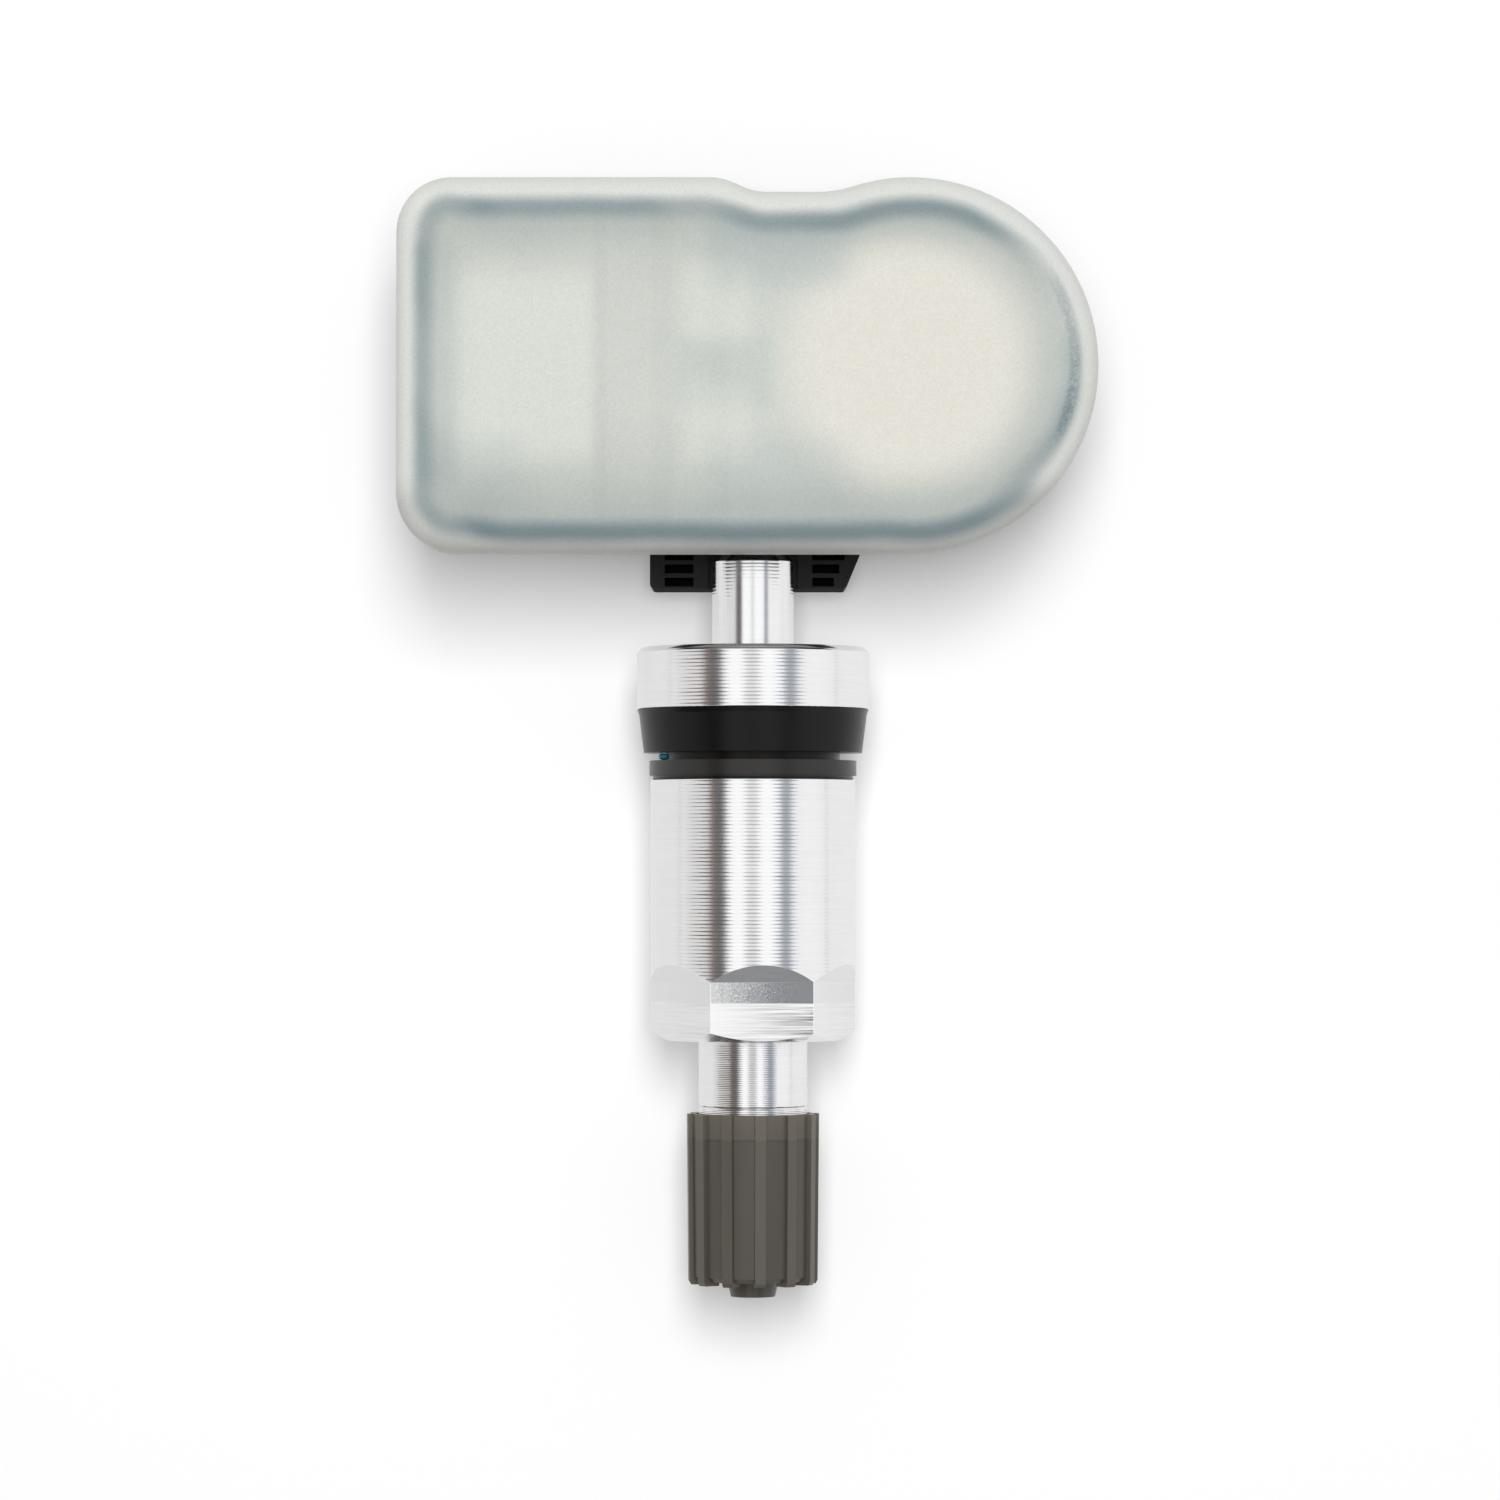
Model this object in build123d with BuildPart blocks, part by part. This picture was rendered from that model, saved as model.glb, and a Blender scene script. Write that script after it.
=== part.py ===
from build123d import *
from math import cos, radians, sqrt
import os

# Tyre pressure sensor: a sealed sensor housing on a clamp-in aluminium valve.
# Millimetres. The origin is on the valve's axis, in the plane where the grommet seats on
# the wheel rim. The valve runs along Y, with its cap towards -Y and the housing towards +Y.
# The lid faces up, +Z. The bracket and the valve's flange reach down to the same level.

# Valve stem, from the housing's end to the tip
shank_diameter = 5.5
shank_length = 6.3
shank_chamfer = 0.5
plug_step = 0.55
plug_length = 7.0
plug_chamfer = 0.6
plug_flat_depth = 0.35
plug_key_length = 3.0
latch_groove_depth = 0.7
latch_groove_width = 1.2
latch_groove_offset = 3.8
flange_diameter = 15.7
flange_height = 4.2
flange_edge = 0.35
flange_front_edge = 0.1
relief_width = 0.8
relief_depth = 0.4
stem_diameter = 7.35
stem_reach = 33.6
nut_thread_step = 0.725
nut_thread_length = 16.4
nut_thread_chamfer = 0.5
cap_thread_drop = 0.055
cap_thread_length = 9.15
tip_chamfer = 0.4
air_bore_reach = 3.4
air_hole_diameter = 1.8
air_hole_offset = 1.9

# Rubber grommet, with a neck that fills the rim's valve hole
grommet_height = 2.9
grommet_top_diameter = 15.4
grommet_seat_diameter = 14.76
grommet_lip_height = 0.3
grommet_lip_reach = 0.12
grommet_neck_wall = 1.43
grommet_neck_length = 0.54
grommet_gap = 0.05

# Washer under the nut, with a hub that the nut turns on
washer_thickness = 1.02
washer_overhang = 0.07
washer_lip_setback = 0.18
washer_lip_height = 0.1
washer_bore_gap = 0.1
hub_wall = 0.45
hub_length = 1.2

# Barrel nut with a hexagon end
hex_across_flats = 12.0
hex_length = 4.0
hex_shoulder_rise = 1.24
hex_end_setback = 0.15
hex_end_cone = 0.62
hex_turn = 5.8
hex_sides = 6
nut_length = 17.72
nut_top_chamfer = 0.2
nut_thread_gap = 0.06
nut_lip_gap = 0.32
nut_lip_length = 5.1
nut_lip_cone = 0.4
hub_gap = 0.08
hub_pocket_extra = 0.3

# Ribbed valve cap with its sealing ring
cap_depth = 10.06
cap_wall = 0.31
cap_draft = 0.1
cap_end_wall = 1.15
cap_end_round = 0.3
cap_thread_gap = 0.08
cap_mouth_gap = 0.165
cap_mouth_depth = 1.0
rib_count = 12
rib_width = 0.75
rib_height = 0.3
rib_turn = 6.65
prong_length = 0.25
prong_width = 1.25
prong_bevel = 0.15
nub_diameter = 3.5
nub_length = 1.1
nub_taper = 0.25
cap_seal_thickness = 0.8
cap_seal_hole = 3.2
cap_seal_gap = 0.15

# Valve core in the stem's tip
core_neck_diameter = 3.2
core_neck_length = 5.8
core_head_step = 0.95
core_head_length = 5.9
core_thread_gap = 0.05
core_recess = 0.4
core_wall = 0.35
core_guide_length = 1.5
core_slot_width = 1.0
core_slot_depth = 1.2
core_bore_step = 0.35
seat_cone_length = 1.1
core_ring_gap = 0.03
pin_diameter = 1.0
pin_recess = 0.1
pin_guide_gap = 0.12
pin_collar_gap = 0.15
pin_collar_width = 0.6
pin_collar_offset = 1.3
cup_setback = 0.25
cup_thickness = 0.6
cup_seal_thickness = 0.6
cup_seal_gap = 0.03
core_spring_wire = 0.2
core_spring_turns = 4

# Housing outline, seen from above
end_center_x = 10.45
end_radius = 12.45
housing_left = -23.65
lid_overlap = 0.28
back_corner = 3.65
front_corner = 4.0
dip_depth = 0.97
dip_crest_x = -2.1
dip_floor_x = 0.1
dip_crest_round = 3.6
dip_floor_round = 4.1
dip_end_round = 7.16

# Lid and tub
lid_thickness = 1.2
lid_edge = 2.2
skirt_wall = 1.3
skirt_depth = 3.55
skirt_gap = 0.05
tub_wall = 1.2
tub_floor = 1.3
tub_bottom = -0.5
tub_edge = 1.2
lip_height = 0.95
lip_inset = 0.15

# Valve bracket below the tub
bracket_left = -7.02
bracket_right = 7.78
bracket_right_front = 6.32
bracket_slant = 3.5
bracket_grip = 2.15
bracket_corner = 0.35
bracket_back_wall = 4.0
bracket_back_chamfer = 2.5
bracket_edge = 0.25
bracket_top = 1.5
ear_drop = 2.6
channel_gap = 0.3
channel_end_gap = 0.5
pocket_rows = 3
pocket_pitch = 0.9
pocket_side_wall = 1.0
pocket_length = 0.6
pocket_depth = 3.0
pocket_front_wall = 0.15
plug_gap = 0.1
socket_end_gap = 0.2
boss_wall = 0.75
boss_roof = 0.6

# Latch plate with its release button and springs
latch_clearance = 0.1
latch_slot_gap = 0.15
plate_side_wall = 1.15
plate_top_wall = 1.1
plate_corner = 1.0
release_travel = 0.75
release_gap = 0.15
button_margin = 0.2
button_length = 4.4
button_height = 1.75
button_edge = 0.4
button_setback = 0.5
button_gap = 0.15
finger_recess_depth = 0.8
finger_recess_margin = 1.1
finger_recess_corner = 1.2
latch_spring_thickness = 0.2
latch_spring_foot = 0.5
latch_spring_height = 2.0
latch_spring_width = 1.0
latch_spring_margin = 0.6

# Coin cell and its cradle
cell_diameter = 16.0
cell_thickness = 3.2
cell_edge = 0.25
cell_can_step = 0.8
cell_can_rise = 0.4
cell_headroom = 0.95
cradle_gap = 0.15
cradle_rib_width = 1.0
cradle_rib_rise = 1.9
cradle_ledge = 3.0
cradle_count = 3
cradle_spread = 120

# Circuit board, its posts and what it carries
board_thickness = 1.0
board_edge_gap = 0.3
board_under_gap = 0.4
board_cell_gap = 0.6
board_arm_reach = 1.6
post_size = 2.0
post_edge = 2.0
post_boss_gap = 2.5
post_coil_gap = 1.05
peg_diameter = 1.0
peg_gap = 0.1
peg_rise = 0.3
tab_thickness = 0.2
tab_width = 3.0
tab_on_cell = 3.0
tab_clear = 1.8
tab_foot = 2.2
chip_size = 7.0
chip_height = 2.2
chip_port_diameter = 1.5
chip_port_depth = 0.5
chip_edge_gap = 4.1
port_diameter = 1.6
port_flare = 0.5
gasket_wall = 1.2
gasket_bore = 2.4
gasket_height = 0.8
coil_length = 11.7
coil_width = 3.5
coil_height = 2.6
coil_flange = 1.4
coil_waist = 0.5
coil_left_gap = 4.25
coil_back_gap = 1.1
crystal_length = 3.2
crystal_width = 2.5
crystal_height = 0.5
crystal_lid_inset = 0.2
crystal_lid_height = 0.3
crystal_left_gap = 4.0
crystal_side = 1.6
antenna_length = 7.4
antenna_width = 1.2
antenna_height = 2.6
antenna_strip = 0.4
antenna_left_gap = 3.7
antenna_front_gap = 1.4
passive_length = 1.6
passive_width = 0.8
passive_height = 0.8
passive_columns = 4
passive_rows = 2
passive_pitch_x = 2.2
passive_pitch_y = 2.4
passive_tab_gap = 2.3

# Radii about the valve's axis
shank_radius = shank_diameter / 2
plug_radius = shank_radius - plug_step
latch_groove_radius = plug_radius - latch_groove_depth
flange_radius = flange_diameter / 2
stem_radius = stem_diameter / 2
nut_thread_radius = stem_radius + nut_thread_step
cap_thread_radius = stem_radius - cap_thread_drop
neck_radius = nut_thread_radius + grommet_gap + grommet_neck_wall
hub_radius = nut_thread_radius + washer_bore_gap + hub_wall
nut_radius = hex_across_flats / 2 / cos(radians(180 / hex_sides))
cap_bore_radius = cap_thread_radius + cap_thread_gap
cap_mouth_radius = stem_radius + cap_mouth_gap
cap_radius = cap_mouth_radius + cap_wall
core_neck_radius = core_neck_diameter / 2
core_head_radius = core_neck_radius + core_head_step
core_bore_radius = core_neck_radius + core_bore_step
core_chamber_radius = core_neck_radius - core_wall
pin_radius = pin_diameter / 2
pin_guide_radius = pin_radius + pin_guide_gap
cup_radius = core_neck_radius - cup_setback

# Levels along the valve
flange_top = grommet_height + flange_height
shank_end = flange_top + shank_length
plug_tip = shank_end + plug_length
key_end = shank_end + plug_key_length
groove_start = shank_end + latch_groove_offset
groove_end = groove_start + latch_groove_width
groove_middle = (groove_start + groove_end) / 2
nut_thread_end = grommet_height - nut_thread_length
stem_tip = -stem_reach
cap_thread_start = stem_tip + cap_thread_length
washer_top = -grommet_neck_length
washer_lip_top = washer_top - washer_thickness
nut_top = washer_lip_top - washer_lip_height
nut_end = nut_top - nut_length
cap_inside_end = stem_tip - cap_seal_thickness
cap_mouth = cap_inside_end + cap_depth
cap_end = cap_inside_end - cap_end_wall
core_outer = stem_tip + core_recess
core_shoulder = core_outer + core_head_length
core_inner = core_shoulder + core_neck_length
chamber_end = core_inner - core_guide_length
pin_outer = stem_tip + pin_recess
collar_outer = pin_outer + pin_collar_offset
collar_inner = collar_outer + pin_collar_width
cup_start = core_inner + cup_seal_thickness

# Places of the housing, seen from above
housing_front = shank_end - lid_overlap
housing_middle = housing_front + end_radius
housing_back = housing_front + 2 * end_radius
tub_inset = skirt_wall + skirt_gap
cavity_inset = tub_inset + tub_wall
cavity_left = housing_left + cavity_inset
cavity_front = housing_front + cavity_inset
cavity_back = housing_back - cavity_inset
bracket_front = shank_end - bracket_grip
channel_radius = shank_radius + channel_gap
channel_end = shank_end + channel_end_gap
socket_radius = plug_radius + plug_gap
socket_end = plug_tip + socket_end_gap
bracket_back = socket_end + bracket_back_wall
latch_hole_radius = plug_radius + latch_slot_gap
plate_half_width = latch_hole_radius + plate_side_wall
plate_thickness = latch_groove_width - 2 * latch_slot_gap
button_half_width = plate_half_width + button_margin
boss_half_width = plate_half_width + latch_slot_gap + boss_wall
cell_radius = cell_diameter / 2
cell_left = end_center_x - cell_radius
port_x = cavity_left + chip_edge_gap + chip_size / 2
gasket_radius = gasket_bore / 2 + gasket_wall
coil_right = cavity_left + coil_left_gap + coil_length
tab_bend_x = cell_left - tab_clear
post_places = (
    (cavity_left + post_edge, cavity_front + post_edge),
    (cavity_left + post_edge, cavity_back - post_edge),
    (coil_right + post_coil_gap + post_size / 2, cavity_back - post_edge),
    (-boss_half_width - post_boss_gap - post_size / 2, cavity_front + post_edge),
)
peg_places = post_places[::2]

# Heights, with the valve's axis at zero
rest_z = -flange_radius
floor_top = tub_bottom + tub_floor
latch_hole_z = latch_groove_radius + latch_clearance - latch_hole_radius
plate_top = latch_hole_z + latch_hole_radius + plate_top_wall
slot_top = plate_top + release_travel + release_gap
boss_top = slot_top + boss_roof
board_bottom = boss_top + board_under_gap
board_top = board_bottom + board_thickness
cell_top = board_bottom + cell_thickness
tub_top = cell_top + cell_headroom
lid_top = tub_top + lid_thickness
skirt_z = tub_top - skirt_depth
lip_top = skirt_z - skirt_gap
button_face = rest_z + button_setback
button_top = button_face + button_height
button_pocket_top = button_top + latch_spring_height
chip_bottom = board_bottom - chip_height
collar_top = chip_bottom - gasket_height


def housing_outline(inset):
    """The housing from above, drawn in evenly by the inset."""
    dip_floor = housing_back - dip_depth
    dip_end_x = end_center_x - sqrt(end_radius**2 - (end_radius - dip_depth) ** 2)
    corners = (
        ((housing_left, housing_front), front_corner),
        ((housing_left, housing_back), back_corner),
        ((dip_crest_x, housing_back), dip_crest_round),
        ((dip_floor_x, dip_floor), dip_floor_round),
        ((dip_end_x, dip_floor), dip_end_round),
    )
    with BuildSketch() as outline:
        with BuildLine():
            Line((housing_left, housing_front), (end_center_x, housing_front))
            ThreePointArc(
                (end_center_x, housing_front),
                (end_center_x + end_radius, housing_middle),
                (dip_end_x, dip_floor),
            )
            Polyline(
                (dip_end_x, dip_floor),
                (dip_floor_x, dip_floor),
                (dip_crest_x, housing_back),
                (housing_left, housing_back),
                (housing_left, housing_front),
            )
        make_face()
        for corner, radius in corners:
            fillet(outline.vertices().sort_by_distance(corner)[0], radius)
        if inset > 0:
            offset(amount=-inset)
    return outline.sketch


def bracket_edge_x(y):
    """The slanted right side of the bracket at y."""
    share = min((y - bracket_front) / bracket_slant, 1)
    return bracket_right_front + (bracket_right - bracket_right_front) * share


def bracket_plan(back):
    """The bracket from above, from its front face to the given back line."""
    slant_end = min(bracket_front + bracket_slant, back)
    with BuildSketch() as plan:
        with BuildLine():
            Polyline(
                (bracket_left, bracket_front),
                (bracket_right_front, bracket_front),
                (bracket_edge_x(slant_end), slant_end),
                (bracket_edge_x(back), back),
                (bracket_left, back),
                close=True,
            )
        make_face()
        fillet(plan.vertices().group_by(Axis.Y)[0], bracket_corner)
    return plan.sketch


def turned_section(*points):
    """Half section of a turned piece, from (radius, y) points."""
    with BuildSketch() as section:
        with BuildLine():
            Polyline(*points, close=True)
        make_face()
    return section.sketch


def across(y):
    """The plane square to the valve's axis at y, with X to the right and Z up."""
    return Plane.XZ.offset(-y)


def radial(angle):
    """The plane through the valve's axis, turned from the lid's side towards +X."""
    return Plane.XY.rotated((0, angle - 90, 0))


# Lid: a tray with a rounded rim, its skirt outside the tub's wall
with BuildPart() as lid:
    with BuildSketch(Plane.XY.offset(skirt_z)):
        add(housing_outline(0))
    extrude(amount=lid_top - skirt_z)
    fillet(lid.faces().sort_by(Axis.Z)[-1].edges(), lid_edge)
    with BuildSketch(Plane.XY.offset(skirt_z)):
        add(housing_outline(skirt_wall))
    extrude(amount=tub_top - skirt_z, mode=Mode.SUBTRACT)
lid.part.label = "lid"

# Base: tub, lip below the skirt, and the bracket with its cored ears, socket and latch slot
with BuildPart() as base:
    # Tub with a bevelled underside, and the lip that the skirt stands over
    with BuildSketch(Plane.XY.offset(tub_bottom)):
        add(housing_outline(tub_inset))
    extrude(amount=tub_top - tub_bottom)
    chamfer(base.faces().sort_by(Axis.Z)[0].edges(), tub_edge)
    with BuildSketch(Plane.XY.offset(lip_top - lip_height)):
        add(housing_outline(lip_inset))
    extrude(amount=lip_height)

    # Bracket block, bevelled at the back, and its ears in front of the tub
    with BuildSketch(Plane.XY.offset(rest_z)):
        add(bracket_plan(bracket_back))
    extrude(amount=floor_top - rest_z)
    chamfer(base.faces().sort_by(Axis.Z)[0].edges().sort_by(Axis.Y)[-1], bracket_back_chamfer)
    chamfer(base.faces().sort_by(Axis.Z)[0].edges(), bracket_edge)
    with BuildSketch(Plane.XY.offset(tub_bottom)):
        add(bracket_plan(cavity_front))
    extrude(amount=bracket_top - tub_bottom)

    # Cavity
    with BuildSketch(Plane.XY.offset(floor_top)):
        add(housing_outline(cavity_inset))
    extrude(amount=tub_top - floor_top, mode=Mode.SUBTRACT)

    # Socket boss for the plug and the latch plate
    boss_start = cavity_front - tub_wall / 2
    with BuildSketch(Plane((0, boss_start, floor_top))):
        boss_size = (2 * boss_half_width, socket_end + boss_wall - boss_start)
        Rectangle(*boss_size, align=(Align.CENTER, Align.MIN))
    extrude(amount=boss_top - floor_top)

    # Board posts, two of them with a locating peg
    with BuildSketch(Plane.XY.offset(floor_top)):
        with Locations(*post_places):
            Rectangle(post_size, post_size)
    extrude(amount=board_bottom - floor_top)
    with BuildSketch(Plane.XY.offset(board_bottom)):
        with Locations(*peg_places):
            Circle(peg_diameter / 2)
    extrude(amount=board_thickness + peg_rise)

    # Cell cradle: ribs with a ledge below the cell and an upright beside it
    cradle_floor = Plane((end_center_x, housing_middle, floor_top))
    cradle_fan = (cradle_count, -cradle_spread / 2, cradle_spread, True, True)
    rib_end = end_radius - cavity_inset + tub_wall / 2
    for rib_start, rib_top in (
        (cell_radius - cradle_ledge, board_bottom),
        (cell_radius + cradle_gap, board_bottom + cradle_rib_rise),
    ):
        with BuildSketch(cradle_floor):
            with PolarLocations((rib_start + rib_end) / 2, *cradle_fan):
                Rectangle(rib_end - rib_start, cradle_rib_width)
        extrude(amount=rib_top - floor_top)

    # Pressure port: a collar for the gasket, and a flared hole through the floor
    with BuildSketch(Plane((port_x, housing_middle, floor_top))):
        Circle(gasket_radius)
    extrude(amount=collar_top - floor_top)
    with BuildSketch(Plane((port_x, housing_middle, tub_bottom))):
        Circle(port_diameter / 2)
    extrude(amount=collar_top - tub_bottom, mode=Mode.SUBTRACT)
    round_edges = base.edges().filter_by(GeomType.CIRCLE)
    chamfer(round_edges.sort_by_distance((port_x, housing_middle, tub_bottom))[0], port_flare)

    # Ears stepped down beside the valve's shank, and the slot between them
    with BuildSketch(Plane((0, channel_end, -ear_drop))):
        Rectangle(4 * bracket_right, 2 * bracket_grip, align=(Align.CENTER, Align.MAX))
    extrude(amount=bracket_top + ear_drop, mode=Mode.SUBTRACT)
    with BuildSketch(across(bracket_front)):
        Rectangle(2 * channel_radius, 2 * channel_radius)
    extrude(amount=bracket_front - channel_end, mode=Mode.SUBTRACT)

    # Socket bore: keyed by two flats at its mouth, round at its end
    with BuildSketch(across(channel_end)):
        Circle(socket_radius)
        flats = 2 * (socket_radius - plug_flat_depth)
        Rectangle(flats, 2 * socket_radius, mode=Mode.INTERSECT)
    extrude(amount=channel_end - key_end, mode=Mode.SUBTRACT)
    with BuildSketch(across(key_end)):
        Circle(socket_radius)
    extrude(amount=key_end - socket_end, mode=Mode.SUBTRACT)

    # Latch slot, button pocket and finger recess, from below
    with BuildSketch(Plane((0, groove_middle, button_pocket_top))):
        Rectangle(2 * (plate_half_width + latch_slot_gap), latch_groove_width)
    extrude(amount=slot_top - button_pocket_top, mode=Mode.SUBTRACT)
    with BuildSketch(Plane((0, groove_middle, rest_z))):
        Rectangle(2 * (button_half_width + button_gap), button_length + 2 * button_gap)
    extrude(amount=button_pocket_top - rest_z, mode=Mode.SUBTRACT)
    with BuildSketch(Plane((0, groove_middle, rest_z))):
        recess_width = 2 * (button_half_width + finger_recess_margin)
        recess_length = button_length + 2 * finger_recess_margin
        RectangleRounded(recess_width, recess_length, finger_recess_corner)
    extrude(amount=finger_recess_depth, mode=Mode.SUBTRACT)

    # Coring pockets in the tops of the ears
    for row in range(pocket_rows):
        pocket_y = bracket_front + pocket_front_wall + pocket_length / 2 + row * pocket_pitch
        for ear_start, ear_end in (
            (bracket_left, -channel_radius),
            (channel_radius, bracket_edge_x(pocket_y)),
        ):
            with BuildSketch(Plane(((ear_start + ear_end) / 2, pocket_y, -ear_drop))):
                Rectangle(ear_end - ear_start - 2 * pocket_side_wall, pocket_length)
            extrude(amount=-pocket_depth, mode=Mode.SUBTRACT)
base.part.label = "base"

# Release button: a latch plate round the plug's groove, on a push button
with BuildPart() as release_button:
    with BuildSketch(Plane((0, groove_middle, button_face))):
        Rectangle(2 * button_half_width, button_length)
    extrude(amount=button_height)
    chamfer(release_button.faces().sort_by(Axis.Z)[0].edges(), button_edge)
    with BuildSketch(across(groove_middle + plate_thickness / 2)) as plate_face:
        with Locations((0, plate_top)):
            Rectangle(2 * plate_half_width, plate_top - button_top, align=(Align.CENTER, Align.MAX))
        fillet(plate_face.vertices().group_by(Axis.Y)[-1], plate_corner)
        with Locations((0, latch_hole_z)):
            Circle(latch_hole_radius, mode=Mode.SUBTRACT)
    extrude(amount=plate_thickness)
release_button.part.label = "release_button"

# Latch springs: a bowed strip on each side of the plate, from the button to its pocket's roof
with BuildPart() as latch_springs:
    bow_reach = button_half_width - latch_spring_margin
    bow_offset = (button_length + plate_thickness) / 4
    for bow_y in (groove_middle - bow_offset, groove_middle + bow_offset):
        with BuildSketch(across(bow_y)):
            with BuildLine():
                ThreePointArc((-bow_reach, button_top), (0, button_pocket_top), (bow_reach, button_top))
                Line((bow_reach, button_top), (bow_reach - latch_spring_foot, button_top))
                ThreePointArc(
                    (bow_reach - latch_spring_foot, button_top),
                    (0, button_pocket_top - latch_spring_thickness),
                    (latch_spring_foot - bow_reach, button_top),
                )
                Line((latch_spring_foot - bow_reach, button_top), (-bow_reach, button_top))
            make_face()
        extrude(amount=latch_spring_width / 2, both=True)
latch_springs.part.label = "latch_springs"

# Valve stem: plug, shank, flange, nut thread, plain neck and cap thread in one turned piece
with BuildPart() as valve_stem:
    with BuildSketch(Plane.XY):
        add(
            turned_section(
                (0, plug_tip),
                (plug_radius - plug_chamfer, plug_tip),
                (plug_radius, plug_tip - plug_chamfer),
                (plug_radius, groove_end),
                (latch_groove_radius, groove_end),
                (latch_groove_radius, groove_start),
                (plug_radius, groove_start),
                (plug_radius, shank_end),
                (shank_radius - shank_chamfer, shank_end),
                (shank_radius, shank_end - shank_chamfer),
                (shank_radius, flange_top - relief_depth),
                (shank_radius + relief_width, flange_top - relief_depth),
                (shank_radius + relief_width, flange_top),
                (flange_radius - flange_edge, flange_top),
                (flange_radius, flange_top - flange_edge),
                (flange_radius, grommet_height + flange_front_edge),
                (flange_radius - flange_front_edge, grommet_height),
                (nut_thread_radius, grommet_height),
                (nut_thread_radius, nut_thread_end + nut_thread_chamfer),
                (stem_radius, nut_thread_end),
                (stem_radius, cap_thread_start),
                (cap_thread_radius, cap_thread_start),
                (cap_thread_radius, stem_tip + tip_chamfer),
                (cap_thread_radius - tip_chamfer, stem_tip),
                (0, stem_tip),
            )
        )
    revolve(axis=Axis.Y)
    with BuildSketch(across(shank_end)):
        Circle(plug_radius)
        Rectangle(2 * (plug_radius - plug_flat_depth), 2 * plug_radius, mode=Mode.SUBTRACT)
    extrude(amount=-plug_key_length, mode=Mode.SUBTRACT)
    air_bore_end = flange_top + air_bore_reach
    head_bore_radius = core_head_radius + core_thread_gap
    with BuildSketch(Plane.XY):
        add(
            turned_section(
                (0, stem_tip),
                (head_bore_radius, stem_tip),
                (head_bore_radius, core_shoulder),
                (core_bore_radius, core_shoulder + seat_cone_length),
                (core_bore_radius, air_bore_end),
                (0, air_bore_end),
            )
        )
    revolve(axis=Axis.Y, mode=Mode.SUBTRACT)
    with BuildSketch(Plane((0, flange_top + air_hole_offset, 0))):
        Circle(air_hole_diameter / 2)
    extrude(amount=-shank_diameter, mode=Mode.SUBTRACT)
valve_stem.part.label = "valve_stem"

# Grommet: tapered flank with a thin lip against the flange, and the neck in the rim's hole
with BuildPart() as grommet:
    grommet_bore = nut_thread_radius + grommet_gap
    grommet_top_radius = grommet_top_diameter / 2
    with BuildSketch(Plane.XY):
        add(
            turned_section(
                (grommet_bore, grommet_height),
                (grommet_top_radius + grommet_lip_reach, grommet_height),
                (grommet_top_radius, grommet_height - grommet_lip_height),
                (grommet_seat_diameter / 2, 0),
                (neck_radius, 0),
                (neck_radius, -grommet_neck_length),
                (grommet_bore, -grommet_neck_length),
            )
        )
    revolve(axis=Axis.Y)
grommet.part.label = "grommet"

# Washer: a flat ring with a narrower lip, and a hub inside the nut
with BuildPart() as nut_washer:
    washer_bore = nut_thread_radius + washer_bore_gap
    with BuildSketch(Plane.XY):
        add(
            turned_section(
                (washer_bore, washer_top),
                (nut_radius + washer_overhang, washer_top),
                (nut_radius + washer_overhang, washer_lip_top),
                (nut_radius - washer_lip_setback, washer_lip_top),
                (nut_radius - washer_lip_setback, nut_top),
                (hub_radius, nut_top),
                (hub_radius, nut_top - hub_length),
                (washer_bore, nut_top - hub_length),
            )
        )
    revolve(axis=Axis.Y)
nut_washer.part.label = "nut_washer"

# Nut: a round barrel with six milled flats, sloped shoulders above them and a bevelled end
with BuildPart() as nut:
    nut_bore = nut_thread_radius + nut_thread_gap
    nut_lip_radius = stem_radius + nut_lip_gap
    hub_pocket = nut_top - hub_length - hub_pocket_extra
    with BuildSketch(Plane.XY):
        add(
            turned_section(
                (hub_radius + hub_gap, nut_top),
                (nut_radius - nut_top_chamfer, nut_top),
                (nut_radius, nut_top - nut_top_chamfer),
                (nut_radius, nut_end + hex_end_cone),
                (hex_across_flats / 2 - hex_end_setback, nut_end),
                (nut_lip_radius + nut_lip_cone, nut_end),
                (nut_lip_radius, nut_end + nut_lip_cone),
                (nut_lip_radius, nut_end + nut_lip_length),
                (nut_bore, nut_end + nut_lip_length + nut_lip_cone),
                (nut_bore, hub_pocket),
                (hub_radius + hub_gap, hub_pocket),
            )
        )
    revolve(axis=Axis.Y)
    flat_radius = hex_across_flats / 2
    flat_top = nut_end + hex_length
    for side in range(hex_sides):
        with BuildSketch(radial(hex_turn + side * 360 / hex_sides)):
            with BuildLine():
                Polyline(
                    (flat_radius, nut_end),
                    (2 * flat_radius, nut_end),
                    (2 * flat_radius, flat_top + hex_shoulder_rise * flat_radius),
                    (flat_radius, flat_top),
                    close=True,
                )
            make_face()
        extrude(amount=nut_radius, both=True, mode=Mode.SUBTRACT)
nut.part.label = "nut"

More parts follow.
